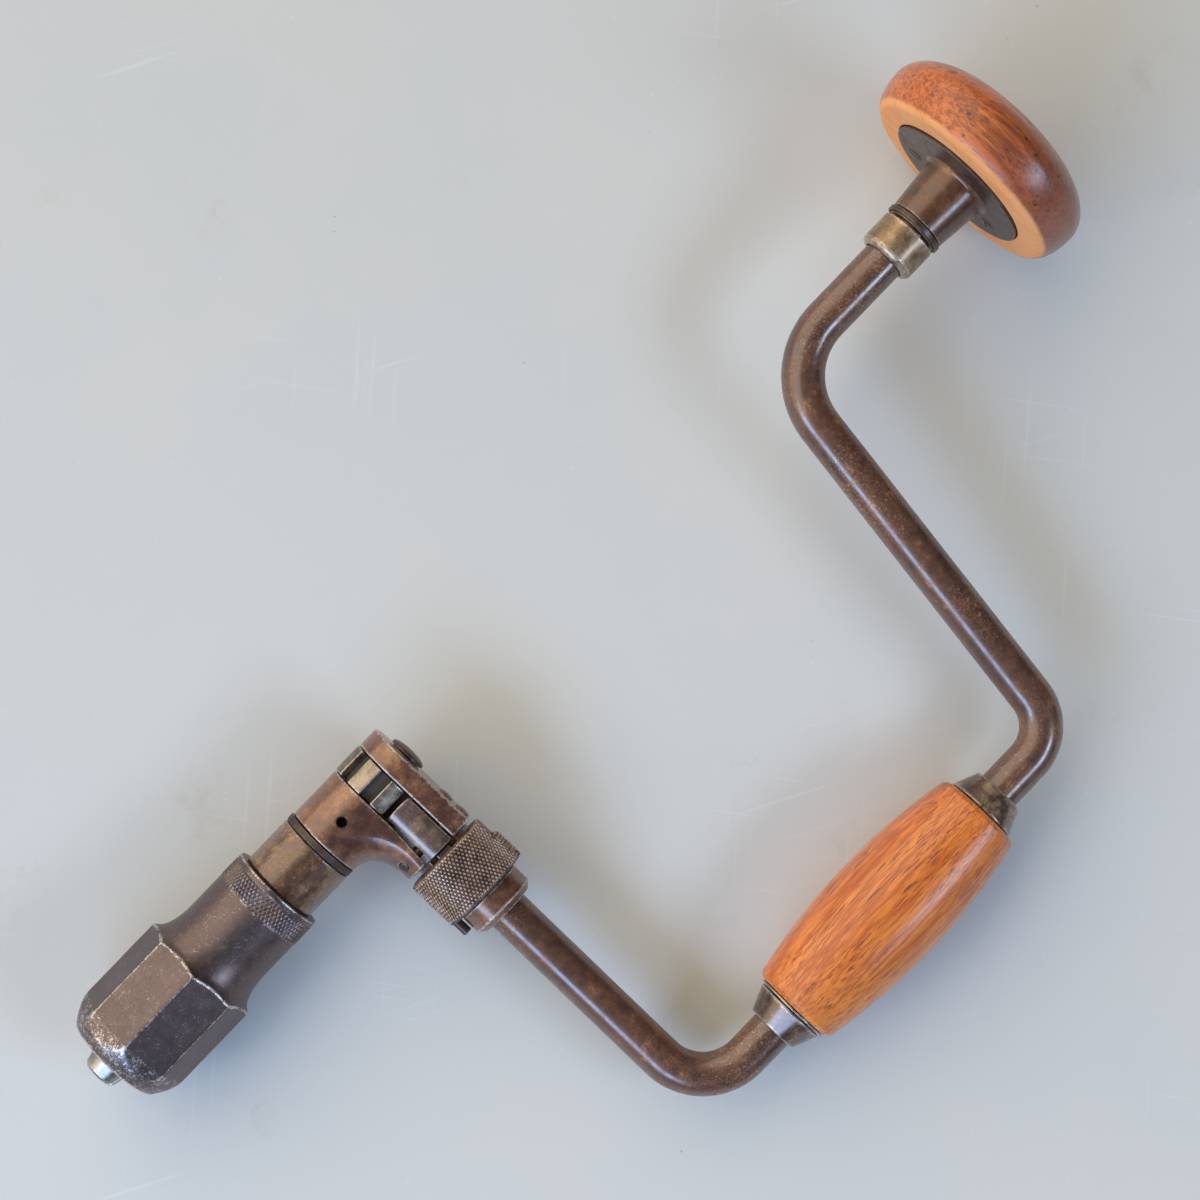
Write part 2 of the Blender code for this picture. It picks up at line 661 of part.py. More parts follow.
def pawl_outline():
    """The upper pawl's side, as (reach, height), nose first and round by its underside."""
    slope = math.tan(PAWL_SWING) + math.tan(PAWL_FLOOR_RELIEF)
    lever = PAWL_TAIL_END - PAWL_PIVOT_REACH
    tip = WHEEL_RADIUS + PAWL_TIP_CLEARANCE
    crest = tip * math.cos(PAWL_TIP_ANGLE)
    nose = tip * math.sin(PAWL_TIP_ANGLE)
    floor = TONGUE_HALF_HEIGHT + PAWL_FLOOR_GAP
    chin = WHEEL_RADIUS + 5 * FIT
    tail_top = SHANK_RADIUS - PAWL_TAIL_DROP
    lifted_heel = SHANK_RADIUS - FIT
    heel_start = PAWL_TAIL_END - HEEL_LENGTH
    heel_top = lifted_heel + (heel_start - PAWL_PIVOT_REACH) * math.sin(PAWL_SWING)
    lip = crest - PAWL_TIP_HEIGHT
    return [
        (nose, crest),
        (math.sqrt(tip * tip - lip * lip), lip),
        (chin - FIT, lip - PAWL_TIP_HEIGHT),
        (chin, floor + (PAWL_PIVOT_REACH - chin) * slope),
        (PAWL_PIVOT_REACH, floor),
        (PAWL_TAIL_END, floor + lever * slope),
        (PAWL_TAIL_END, heel_top),
        (heel_start, heel_top),
        (heel_start - 2 * FIT, tail_top),
        (SHANK_START, tail_top),
        (SHANK_START - 2 * FIT, crest),
    ]


def make_pawls(arm):
    """The two pawls, each on an empty at its pin."""
    for side, label in ((1, "upper"), (-1, "lower")):
        pivot = empty(
            "pawl_pivot_" + label, arm, (0, side * PAWL_PIVOT_HEIGHT, PAWL_PIVOT_REACH),
            (0, 0, 0 if side > 0 else math.pi),
        )
        outline = [(reach - PAWL_PIVOT_REACH, height - PAWL_PIVOT_HEIGHT) for reach, height in pawl_outline()]
        name = "pawl_" + label
        pawl = prism(name, outline, 2 * INNER_HALF_WIDTH, pivot, DARK_STEEL, rotation=(0, -math.pi / 2, 0))
        round_top = cylinder(
            name + "_round_top", SHANK_RADIUS, -PAWL_PIVOT_REACH, SHANK_START - PAWL_PIVOT_REACH, pivot,
            steps=ROUND_STEPS, location=(0, -PAWL_PIVOT_HEIGHT, 0),
        )
        tail_room = box(
            name + "_tail_room", (-HEEL_HALF_WIDTH, -SHANK_RADIUS, SHANK_START - PAWL_PIVOT_REACH - FIT),
            (HEEL_HALF_WIDTH, SHANK_RADIUS, PAWL_TAIL_END), pivot,
        )
        combine(round_top, tail_room, "UNION")
        combine(pawl, round_top, "INTERSECT")
        combine(pawl, cylinder(
            name + "_pin_hole", PAWL_PIN_RADIUS + FIT, -SLOT_WIDTH, SLOT_WIDTH, pivot, rotation=(0, math.pi / 2, 0),
        ))
        make_pawl_spring("pawl_spring_" + label, side, arm)


def make_pawl_spring(name, side, arm):
    """A short coil in the shank that pushes a pawl's tail outward."""
    start = TONGUE_HALF_HEIGHT - PAWL_SPRING_DEPTH + FIT + PAWL_SPRING_WIRE
    end = TONGUE_HALF_HEIGHT + FIT - PAWL_SPRING_WIRE
    route = coil(PAWL_SPRING_RADIUS, start, end, PAWL_SPRING_TURNS)
    turn = (-side * math.pi / 2, 0, 0)
    tube(name, route, PAWL_SPRING_WIRE, 1, arm, BRIGHT_STEEL, (0, 0, SPRING_REACH), turn)


def make_selector(arm):
    """The selector ring, with a cam pocket inside and an index notch, and the lug behind it."""
    bore = SHANK_RADIUS + FIT
    profile = [
        (bore, RING_END), (RING_RADIUS - RING_CHAMFER, RING_END), (RING_RADIUS, RING_END - RING_CHAMFER),
        (RING_RADIUS, RING_START + RING_CHAMFER), (RING_RADIUS - RING_CHAMFER, RING_START), (bore, RING_START),
    ]
    ring = turned("selector_ring", profile, arm, DARK_STEEL)
    lever = PAWL_TAIL_END - PAWL_PIVOT_REACH
    pocket_radius = SHANK_RADIUS + 2 * lever * math.sin(PAWL_SWING) + FIT
    pocket = cylinder("cam_pocket", pocket_radius, CAM_FRONT, CAM_BACK, arm, steps=ROUND_STEPS)
    lobe_edge = bore * math.sin(SELECTOR_SWING + CAM_LEAD)
    lobe_low = (-2 * RING_RADIUS, -2 * RING_RADIUS, 0)
    lobe_high = (-lobe_edge, 2 * RING_RADIUS, 2 * RING_END)
    combine(pocket, box("cam_lobe", lobe_low, lobe_high, arm))
    combine(ring, pocket)
    notch_low = (RING_RADIUS - RING_NOTCH_DEPTH, -RING_RADIUS, 0)
    notch_high = (2 * RING_RADIUS, RING_RADIUS, RING_START + RING_NOTCH_LENGTH)
    combine(ring, box("index_notch", notch_low, notch_high, arm))
    lug_place = (-LUG_OFFSET, 0, 0)
    deep = RING_END - LUG_DEPTH
    combine(ring, cylinder("lug_hole", LUG_RADIUS + FIT, deep - FIT, 2 * RING_END, arm, location=lug_place))
    cylinder("selector_lug", LUG_RADIUS, deep, RING_END + LUG_REACH, arm, DARK_STEEL, location=lug_place)


def wheel_outline():
    """The ratchet wheel's teeth, with a gap at the top."""
    pitch = math.tau / WHEEL_TEETH
    points = []
    for i in range(WHEEL_TEETH):
        middle = pitch * (i + 0.5)
        rise, fall = middle - TOOTH_ANGLE / 2, middle + TOOTH_ANGLE / 2
        points += arc((0, 0), WHEEL_RADIUS, rise, fall, 3)
        points += arc((0, 0), WHEEL_ROOT_RADIUS, fall, rise + pitch, 2)
    return points


def make_spindle(main, jaws):
    """The spindle with its threaded nose, the ratchet wheel keyed on it, its dust ring and its cap."""
    nose = SHELL_BORE_RADIUS - FIT
    end = PLATE_BACK + FIT
    seat = PLATE_FACE
    profile = [
        (0.0, end), (TOP_JOURNAL_RADIUS, end), (TOP_JOURNAL_RADIUS, seat), (WHEEL_SEAT_RADIUS, seat),
        (WHEEL_SEAT_RADIUS, BRACKET_FACE), (JOURNAL_RADIUS, BRACKET_FACE), (JOURNAL_RADIUS, COLLAR_BACK),
        (SPINDLE_COLLAR_RADIUS, COLLAR_BACK), (SPINDLE_COLLAR_RADIUS, COLLAR_FRONT), (nose, COLLAR_FRONT),
        (nose, SPINDLE_FRONT), (0.0, SPINDLE_FRONT),
    ]
    spindle = turned("spindle", profile, main, BRACKET_STEEL)
    slot_half = JAW_TAIL_HALF_WIDTH + FIT
    slot_low = (-2 * SHELL_BORE_RADIUS, -slot_half, 2 * SPINDLE_FRONT)
    slot_high = (2 * SHELL_BORE_RADIUS, slot_half, JAW_TAIL + JAW_TRAVEL + FIT)
    combine(spindle, box("jaw_slot", slot_low, slot_high, jaws))
    socket_end = SPINDLE_FRONT + TANG_SOCKET_DEPTH
    combine(spindle, cylinder("tang_socket", TANG_SOCKET_RADIUS, 2 * SPINDLE_FRONT, socket_end, main))
    screw_end = end - CAP_SCREW_LENGTH - FIT
    combine(spindle, cylinder("cap_hole", CAP_SCREW_RADIUS + FIT, screw_end, 2 * end, main))
    half = INNER_HALF_WIDTH
    wheel = prism("ratchet_wheel", wheel_outline(), 2 * half, main, BRIGHT_STEEL)
    combine(wheel, cylinder("wheel_bore", WHEEL_SEAT_RADIUS + FIT, -2 * half, 2 * half, main, steps=ROUND_STEPS))
    key_low = (WHEEL_SEAT_RADIUS - KEY_HEIGHT / 2, -KEY_WIDTH / 2, -half + 2 * FIT)
    key_high = (WHEEL_SEAT_RADIUS + KEY_HEIGHT / 2, KEY_WIDTH / 2, half - 2 * FIT)
    box("wheel_key", key_low, key_high, main, DARK_STEEL)
    clear = Vector((FIT, FIT, FIT))
    combine(spindle, box("spindle_keyway", Vector(key_low) - clear, Vector(key_high) + clear, main))
    long_clear = Vector((FIT, FIT, 4 * FIT))
    combine(wheel, box("wheel_keyway", Vector(key_low) - long_clear, Vector(key_high) + long_clear, main))
    bore = JOURNAL_RADIUS + FIT
    ring_back = DUST_RING_FRONT + DUST_RING_THICKNESS
    ring = [(bore, ring_back), (DUST_RING_RADIUS, ring_back), (DUST_RING_RADIUS, DUST_RING_FRONT), (bore, DUST_RING_FRONT)]
    turned("dust_ring", ring, main, DARK_STEEL)
    make_cap(main, end)


def make_cap(main, end):
    """The domed screw on the spindle's head end."""
    base = end + FIT
    dome = []
    crown = CAP_HEIGHT - CAP_RIM_HEIGHT
    for i in range(CAP_STEPS + 1):
        angle = math.pi / 2 * (1 - i / CAP_STEPS)
        radius = CAP_RADIUS * math.cos(angle) if i else 0.0
        dome.append((radius, base + CAP_RIM_HEIGHT + crown * math.sin(angle)))
    foot = end - CAP_SCREW_LENGTH
    stem = [(CAP_RADIUS, base), (CAP_SCREW_RADIUS, base), (CAP_SCREW_RADIUS, foot), (0.0, foot)]
    turned("spindle_cap", dome + stem, main, BRACKET_STEEL, 24)


def shell_profile():
    """The chuck shell, down its outside from the sleeve's back rim to the nose, and back up its bore."""
    flare = []
    rise = CORNER_RADIUS - SLEEVE_RADIUS
    for i in range(FLARE_STEPS + 1):
        angle = math.pi / 2 * i / FLARE_STEPS
        height = OCTAGON_BACK + FLARE_LENGTH * (1 - math.sin(angle))
        flare.append((SLEEVE_RADIUS + rise * (1 - math.cos(angle)), height))
    nose = []
    for i in range(CURVE_STEPS + 1):
        share = i / CURVE_STEPS
        bulge = NOSE_BULGE * math.sin(math.pi * share)
        radius = CORNER_RADIUS + (NOSE_RADIUS - CORNER_RADIUS) * share + bulge
        nose.append((radius, OCTAGON_FRONT - NOSE_LENGTH * share))
    cone_end = SHELL_FRONT + (SHELL_BORE_RADIUS - THROAT_RADIUS) / math.tan(CONE_ANGLE)
    outside = [(SHELL_BORE_RADIUS, SHELL_BACK), (SLEEVE_RADIUS, SHELL_BACK)] + flare + nose
    return outside + [(THROAT_RADIUS, SHELL_FRONT), (SHELL_BORE_RADIUS, cone_end)]


def make_shell(main):
    """The chuck shell: a turned sleeve and nose crossed with an eight-sided bar."""
    shell = turned("chuck_shell", shell_profile(), main, SHELL_STEEL)
    bar_start, bar_end = SHELL_FRONT - NOSE_LENGTH, SHELL_BACK + NOSE_LENGTH
    bar = cylinder("octagon_bar", CORNER_RADIUS, bar_start, bar_end, main, steps=FLAT_COUNT)
    combine(shell, bar, "INTERSECT")


def make_jaws(frames):
    """The two jaws, each half of a cone that fits the shell, with a groove for a square tang."""
    slope = math.tan(CONE_ANGLE)
    clear = FIT / math.cos(CONE_ANGLE)

    def radius_at(height):
        return THROAT_RADIUS - clear + (height - SHELL_FRONT) * slope

    far = 2 * CORNER_RADIUS
    for label, frame in frames.items():
        name = "jaw_" + label
        tail_radius = radius_at(JAW_SHOULDER)
        tip = radius_at(JAW_TIP + JAW_TIP_EDGE)
        profile = [
            (0.0, JAW_TAIL), (tail_radius, JAW_TAIL), (tail_radius, JAW_SHOULDER), (tip, JAW_TIP + JAW_TIP_EDGE),
            (tip - JAW_TIP_EDGE, JAW_TIP), (0.0, JAW_TIP),
        ]
        jaw = turned(name, profile, frame, BRIGHT_STEEL)
        combine(jaw, box(name + "_half", (-far, -far, 2 * JAW_TIP), (JAW_GAP / 2, far, 0), frame))
        combine(jaw, cylinder(name + "_groove", JAW_GROOVE, 2 * JAW_TIP, 0, frame, steps=4))
        for side in (1, -1):
            sides = sorted((side * JAW_TAIL_HALF_WIDTH, side * far))
            cheek = box(
                name + ("_left" if side > 0 else "_right"), (-far, sides[0], JAW_SHOULDER), (far, sides[1], 0), frame,
            )
            combine(jaw, cheek)


def make_grip(grip):
    """The wooden grip and what holds it along the rod."""
    turned("grip", grip_profile(), grip, GRIP_WOOD)
    bore = ROD_RADIUS + FIT
    washer_top = GRIP_START - FIT
    washer_low = washer_top - WASHER_THICKNESS
    washer = [(bore, washer_top), (WASHER_RADIUS, washer_top), (WASHER_RADIUS, washer_low), (bore, washer_low)]
    turned("grip_washer", washer, grip, BRIGHT_STEEL, 24)
    low_top = washer_low - FIT
    low_end = low_top - FERRULE_LENGTH
    lower = [(bore, low_top), (FERRULE_RADIUS, low_top), (FERRULE_NECK_RADIUS, low_end), (bore, low_end)]
    turned("ferrule_lower", lower, grip, PATINA)
    high_end = GRIP_START + GRIP_LENGTH + FIT
    high_top = high_end + FERRULE_LENGTH
    upper = [(bore, high_top), (FERRULE_NECK_RADIUS, high_top), (FERRULE_RADIUS, high_end), (bore, high_end)]
    turned("ferrule_upper", upper, grip, PATINA)


def make_head(main):
    """The bearing collar on the stem, the quill with its flange, the wooden pad and the thrust bearing."""
    bore = ROD_RADIUS + FIT
    bearing_end = BEARING_START + BEARING_LENGTH
    edge = arc((BEARING_RADIUS - BEARING_EDGE, BEARING_START + BEARING_EDGE), BEARING_EDGE, 0, -math.pi / 2, CURVE_STEPS)
    bearing = [(bore, bearing_end), (BEARING_RADIUS, bearing_end)] + edge + [(bore, BEARING_START)]
    turned("bearing_collar", bearing, main, NICKEL)
    band_end = QUILL_START + FIT + BAND_LENGTH
    seat = QUILL_RADIUS - BAND_SEAT_DEPTH
    quill_profile = [
        (bore, FLANGE_TOP), (FLANGE_RADIUS, FLANGE_TOP), (FLANGE_RADIUS, FLANGE_FACE), (QUILL_TOP_RADIUS, FLANGE_FACE),
        (QUILL_RADIUS, band_end + FIT), (seat, band_end + FIT), (seat, QUILL_START), (bore, QUILL_START),
    ]
    quill = turned("head_quill", quill_profile, main, DARK_STEEL)
    band_bore = seat + FIT
    band_start = QUILL_START + FIT
    band = [(band_bore, band_end), (BAND_RADIUS, band_end), (BAND_RADIUS, band_start), (band_bore, band_start)]
    turned("quill_band", band, main, BRIGHT_STEEL)
    pad = turned("head_pad", pad_profile(), main, PAD_WOOD)
    make_bearing(main, bore)
    for i in range(SCREW_COUNT):
        make_flange_screw(i, main, quill, pad)


def make_bearing(main, bore):
    """The balls on top of the flange and the nut that keeps the head on the stem."""
    for i in range(BALL_COUNT):
        angle = math.tau * i / BALL_COUNT
        ball = bmesh.new()
        bmesh.ops.create_uvsphere(ball, u_segments=8, v_segments=6, radius=BALL_RADIUS)
        mesh = bpy.data.meshes.new("bearing_ball_" + str(i + 1))
        ball.to_mesh(mesh)
        ball.free()
        spot = (BALL_CIRCLE * math.cos(angle), BALL_CIRCLE * math.sin(angle), BALL_PLACE)
        place(mesh.name, mesh, main, BRIGHT_STEEL, spot)
    nut = cylinder("stem_nut", NUT_RADIUS, NUT_START, NUT_START + NUT_THICKNESS, main, DARK_STEEL, 6)
    combine(nut, cylinder("nut_bore", bore, NUT_START - FIT, 2 * STEM_END, main, steps=ROUND_STEPS))


def make_flange_screw(i, main, quill, pad):
    """A countersunk wood screw through the flange into the pad."""
    name = "flange_screw_" + str(i + 1)
    angle = math.tau * (i + 0.5) / SCREW_COUNT
    spot = (SCREW_CIRCLE * math.cos(angle), SCREW_CIRCLE * math.sin(angle), 0)
    face = FLANGE_FACE + FIT
    sink = face + SCREW_HEAD_RADIUS - SCREW_RADIUS
    tip = face + SCREW_LENGTH
    profile = [
        (0.0, tip), (SCREW_RADIUS, tip - 2 * SCREW_RADIUS), (SCREW_RADIUS, sink), (SCREW_HEAD_RADIUS, face), (0.0, face),
    ]
    turned(name, profile, main, DARK_STEEL, SMALL_STEPS, spot)
    wide = SCREW_RADIUS + FIT
    head = SCREW_HEAD_RADIUS + 2 * FIT
    top = tip + FIT
    hole = [(0.0, top), (wide, top), (wide, sink + FIT), (head, face - FIT), (head, face - 4 * FIT), (0.0, face - 4 * FIT)]
    cutter = turned(name + "_hole", hole, main, None, SMALL_STEPS, spot)
    combine(quill, cutter)
    combine(pad, cutter)


def lay_on_table(rest):
    """Turns the brace onto the table and puts the origin under the middle of its box."""
    rest.rotation_euler = table_rotation().to_euler()
    bpy.context.view_layer.update()
    graph = bpy.context.evaluated_depsgraph_get()
    low = Vector((math.inf,) * 3)
    high = -low
    for thing in PARTS.objects:
        if thing.type != "MESH":
            continue
        solid = thing.evaluated_get(graph)
        for vertex in solid.data.vertices:
            point = solid.matrix_world @ vertex.co
            low = Vector(map(min, low, point))
            high = Vector(map(max, high, point))
    rest.location = (-(low.x + high.x) / 2, -(low.y + high.y) / 2, -low.z)
    bpy.context.view_layer.update()


def main():
    """Builds the brace."""
    clear_scene()
    rest = empty("brace_rest")
    along = (0, math.pi / 2, 0)
    main_axis = empty("main_axis", rest, rotation=along)
    grip_axis = empty("grip_axis", rest, (0, -SWEEP_RADIUS, 0), along)
    arm_axis = empty("arm_axis", rest, rotation=(math.pi / 2, 0, 0))
    jaw_frames = {
        "a": empty("jaw_axis_a", main_axis, rotation=(0, 0, math.pi - JAW_ROLL)),
        "b": empty("jaw_axis_b", main_axis, rotation=(0, 0, -JAW_ROLL)),
    }
    make_crank(rest)
    make_arm_collar(arm_axis, rest)
    make_arm_shank(arm_axis)
    make_detent(arm_axis)
    make_lower_bracket(main_axis, arm_axis, rest)
    make_upper_plate(main_axis, arm_axis)
    make_fasteners(arm_axis)
    make_pawls(arm_axis)
    make_selector(arm_axis)
    make_spindle(main_axis, jaw_frames["a"])
    make_shell(main_axis)
    make_jaws(jaw_frames)
    make_grip(grip_axis)
    make_head(main_axis)
    lay_on_table(rest)


main()
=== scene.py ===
"""Looks of the ratchet brace.

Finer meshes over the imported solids, worn steel and wood, a pale table and soft light.
"""

from __future__ import annotations

import json
import logging
import math
from dataclasses import dataclass
from enum import Enum
from typing import Callable, Sequence, Union

import bpy
import numpy as np
from mathutils import Matrix, Vector

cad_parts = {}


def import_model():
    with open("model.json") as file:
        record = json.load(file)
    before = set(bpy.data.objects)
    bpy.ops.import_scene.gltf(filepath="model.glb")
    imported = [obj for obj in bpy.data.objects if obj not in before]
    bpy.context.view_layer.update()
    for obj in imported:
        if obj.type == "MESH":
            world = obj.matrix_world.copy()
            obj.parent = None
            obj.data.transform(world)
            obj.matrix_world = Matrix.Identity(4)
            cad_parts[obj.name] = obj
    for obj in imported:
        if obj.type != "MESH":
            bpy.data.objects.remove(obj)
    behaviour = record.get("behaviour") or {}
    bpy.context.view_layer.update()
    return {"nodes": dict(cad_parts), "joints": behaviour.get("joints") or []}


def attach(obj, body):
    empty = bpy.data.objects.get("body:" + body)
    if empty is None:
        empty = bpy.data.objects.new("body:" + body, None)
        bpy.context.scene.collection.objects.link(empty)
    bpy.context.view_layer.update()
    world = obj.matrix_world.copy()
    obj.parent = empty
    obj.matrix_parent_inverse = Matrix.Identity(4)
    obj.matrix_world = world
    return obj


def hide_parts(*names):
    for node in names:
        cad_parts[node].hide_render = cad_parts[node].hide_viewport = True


LOG = logging.getLogger("ratchet_brace")
WEAR = "wear"
MM = 0.001
QUARTER = math.pi / 2
JAW_ROLL = math.radians(33.5)
# Millimetres: the rounding of an edge that looks sharp, and a place past the end of every piece.
CRISP = 0.1
FAR = 400.0

Rgb = tuple[float, float, float]
Corner = tuple[float, float, float]
Point2 = tuple[float, float]


def srgb(red: int, green: int, blue: int) -> Rgb:
    """A colour as seen on a screen, 0 to 255, as linear light."""
    shares = (channel / 255 for channel in (red, green, blue))
    return tuple(s / 12.92 if s <= 0.04045 else ((s + 0.055) / 1.055) ** 2.4 for s in shares)


# --------------------------------------
# Places


@dataclass(frozen=True)
class Axes:
    """A sub-assembly's own frame, in which its sizes are millimetres.

    Attributes:
        matrix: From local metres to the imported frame.
    """

    matrix: Matrix

    def turned(self, angle: float, axis: str) -> Axes:
        """These axes turned about one of their own."""
        return Axes(self.matrix @ Matrix.Rotation(angle, 4, axis))

    def moved(self, x: float, y: float, z: float) -> Axes:
        """These axes moved along themselves, in millimetres."""
        return Axes(self.matrix @ Matrix.Translation((x * MM, y * MM, z * MM)))

    def world(self, points: np.ndarray) -> np.ndarray:
        """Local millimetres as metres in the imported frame."""
        turn = np.array(self.matrix.to_3x3())
        return points * MM @ turn.T + np.array(self.matrix.translation)


@dataclass(frozen=True)
class Layout:
    """The brace's axes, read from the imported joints.

    Attributes:
        tool: X from chuck to head, the crank along -Y, Z up.
        main: Z along the main axis.
        arm: Z along the lower arm, away from the main axis.
        grip: Z along the grip's axis.
    """

    tool: Axes
    main: Axes
    arm: Axes
    grip: Axes

    @classmethod
    def from_joints(cls, joints: Sequence[dict]) -> Layout:
        """Finds the axes.

        Args:
            joints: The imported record's joints.

        Returns:
            The layout.
        """
        by_name = {joint["name"]: joint for joint in joints}
        origin = Vector(by_name["chuck_spin"]["pos_m"])
        along = Vector(by_name["chuck_spin"]["axis"]).normalized()
        side = -Vector(by_name["selector_turn"]["axis"]).normalized()
        up = along.cross(side).normalized()
        rows = Matrix((along, side, up)).transposed().to_4x4()
        tool = Axes(Matrix.Translation(origin) @ rows)
        main = tool.turned(QUARTER, "Y")
        to_grip = tool.matrix.inverted() @ Vector(by_name["grip_spin"]["pos_m"])
        grip = tool.moved(0, to_grip.y / MM, 0).turned(QUARTER, "Y")
        return cls(tool, main, tool.turned(QUARTER, "X"), grip)


# --------------------------------------
# Shader writing


class Wire:
    """A node's output that takes part in Python arithmetic."""

    def __init__(self, sheet: Sheet, socket: bpy.types.NodeSocket) -> None:
        """Wraps one output socket of a sheet."""
        self.sheet = sheet
        self.socket = socket

    def maths(self, operation: str, *others: Value) -> Wire:
        """A Math node that starts from this value."""
        sockets = dict(enumerate((self, *others)))
        return self.sheet.out("ShaderNodeMath", {"operation": operation}, sockets)

    def __add__(self, other: Value) -> Wire:
        """self + other."""
        return self.maths("ADD", other)

    __radd__ = __add__

    def __sub__(self, other: Value) -> Wire:
        """self - other."""
        return self.maths("SUBTRACT", other)

    def __rsub__(self, other: float) -> Wire:
        """other - self."""
        return self.sheet.out("ShaderNodeMath", {"operation": "SUBTRACT"}, {0: other, 1: self})

    def __mul__(self, other: Value) -> Wire:
        """self * other."""
        return self.maths("MULTIPLY", other)

    __rmul__ = __mul__

    def __truediv__(self, other: Value) -> Wire:
        """self / other."""
        return self.maths("DIVIDE", other)

    def step(self, low: float, high: float) -> Wire:
        """A smooth step, either way round.

        Args:
            low: Where it is 0.
            high: Where it is 1.

        Returns:
            The step.
        """
        sockets = {"Value": self, "From Min": low, "From Max": high}
        return self.sheet.out("ShaderNodeMapRange", {"interpolation_type": "SMOOTHSTEP"}, sockets)


Value = Union[Wire, float]
Colour = Union[Wire, Rgb]


class Sheet:
    """A node tree under construction."""

    def __init__(self, tree: bpy.types.NodeTree) -> None:
        """Starts on a tree."""
        self.tree = tree

    def node(
        self, kind: str, settings: dict | None = None, sockets: dict | None = None,
    ) -> bpy.types.Node:
        """Adds a node.

        Args:
            kind: The node's type.
            settings: Properties of the node, set first.
            sockets: Values or links by socket number, identifier or name.

        Returns:
            The node.
        """
        node = self.tree.nodes.new(kind)
        for name, setting in (settings or {}).items():
            setattr(node, name, setting)
        for key, value in (sockets or {}).items():
            self.feed(self._find(node.inputs, key), value)
        return node

    def out(
        self, kind: str, settings: dict | None = None, sockets: dict | None = None, name: str | int = 0,
    ) -> Wire:
        """Adds a node and gives one of its outputs."""
        return Wire(self, self._find(self.node(kind, settings, sockets).outputs, name))

    def mix(self, share: Value, first: Colour, second: Colour) -> Wire:
        """A mix of two colours."""
        sockets = {"Factor_Float": share, "A_Color": first, "B_Color": second}
        return self.out("ShaderNodeMix", {"data_type": "RGBA"}, sockets, "Result_Color")

    def feed(self, socket: bpy.types.NodeSocket, value: object) -> None:
        """Links a wire to a socket or sets the socket's own value.

        Args:
            socket: The input to feed.
            value: A wire, a number, a colour or a vector.
        """
        if isinstance(value, Wire):
            self.tree.links.new(value.socket, socket)
        elif socket.type == "RGBA" and len(value) == 3:
            socket.default_value = (*value, 1.0)
        else:
            socket.default_value = value

    @staticmethod
    def _find(sockets: bpy.types.NodeInputs, key: str | int) -> bpy.types.NodeSocket:
        """Finds a socket.

        Args:
            sockets: A node's inputs or outputs.
            key: The socket's number, identifier or name.

        Returns:
            The socket.
        """
        if isinstance(key, int):
            return sockets[key]
        return next((s for s in sockets if s.identifier == key), None) or sockets[key]


class SurfaceSheet(Sheet):
    """The node tree of one finish."""

    def __init__(self, name: str) -> None:
        """Starts a material with a Principled shader.

        Args:
            name: The material's name.
        """
        self.material = bpy.data.materials.new(name)
        self.material.use_nodes = True
        super().__init__(self.material.node_tree)
        self.shader = self.tree.nodes["Principled BSDF"]
        self.place = self.out("ShaderNodeTexCoord", name="Object")

    def set(self, **inputs: object) -> None:
        """Feeds the shader's sockets.

        Args:
            inputs: Values or wires by the socket's name, with _ for a space.
        """
        for name, value in inputs.items():
            label = name.replace("_", " ").title().replace("Ior", "IOR")
            self.feed(self.shader.inputs[label], value)

    def local(self, axes: Axes, stretch: Rgb = (1.0, 1.0, 1.0)) -> Wire:
        """Object coordinates in a sub-assembly's own axes.

        Args:
            axes: The sub-assembly's axes.
            stretch: Factors along those axes, so that a pattern may run along one of them.

        Returns:
            The coordinates, in metres times the stretch.
        """
        back = axes.matrix.inverted()
        inside = self.out(
            "ShaderNodeMapping", None,
            {"Vector": self.place, "Location": back.translation, "Rotation": back.to_euler()},
        )
        return self.out("ShaderNodeVectorMath", {"operation": "MULTIPLY"}, {0: inside, 1: stretch})

    def noise(
        self, scale: float, detail: float = 3.0, rough: float = 0.55, place: Wire | None = None,
        warp: float = 0.0,
    ) -> Wire:
        """A noise from 0 to 1.

        Args:
            scale: Its features are about 1 / scale metres wide.
            detail: How many finer layers it has.
            rough: How strong the finer layers are.
            place: Its coordinates, or None for the piece's own.
            warp: How far it is distorted.

        Returns:
            The noise.
        """
        sockets = {
            "Vector": place or self.place, "Scale": scale, "Detail": detail, "Roughness": rough,
            "Distortion": warp,
        }
        return self.out("ShaderNodeTexNoise", None, sockets)

    def spots(self, scale: float, reach: float) -> Wire:
        """Round spots, 1 in the middle and 0 past a reach of a cell."""
        sockets = {"Vector": self.place, "Scale": scale}
        return self.out("ShaderNodeTexVoronoi", None, sockets, "Distance").step(reach, reach * 0.3)

    def scuffs(self, runs: Sequence[Point2], length: float) -> Wire:
        """Straight scuffs that cross each other.

        Args:
            runs: The turn about Z and the scale of each set of scuffs.
            length: A scuff's length over its width.

        Returns:
            The sum of all sets.
        """
        lines: Value = 0.0
        for turn, scale in runs:
            place = self.local(Axes(Matrix.Rotation(turn, 4, "Z")), (1.0 / length, 1.0, 1.0))
            lines = lines + self.noise(scale, 1.0, 0.4, place).step(0.66, 0.76)
        return lines

    def edge(self) -> Wire:
        """The piece's outer edges as 1 and its creases as -1."""
        return self.out("ShaderNodeAttribute", {"attribute_name": WEAR}, name="Fac")

    def bump(self, height: Wire, distance: float, strength: float = 1.0) -> None:
        """Feeds the shader's normal with a bump.

        Args:
            height: The bump's height, from 0 to 1.
            distance: What a height of 1 stands for, in metres.
            strength: How strongly it shows.
        """
        sockets = {"Height": height, "Distance": distance, "Strength": strength}
        self.set(normal=self.out("ShaderNodeBump", None, sockets))


# --------------------------------------
# Finishes


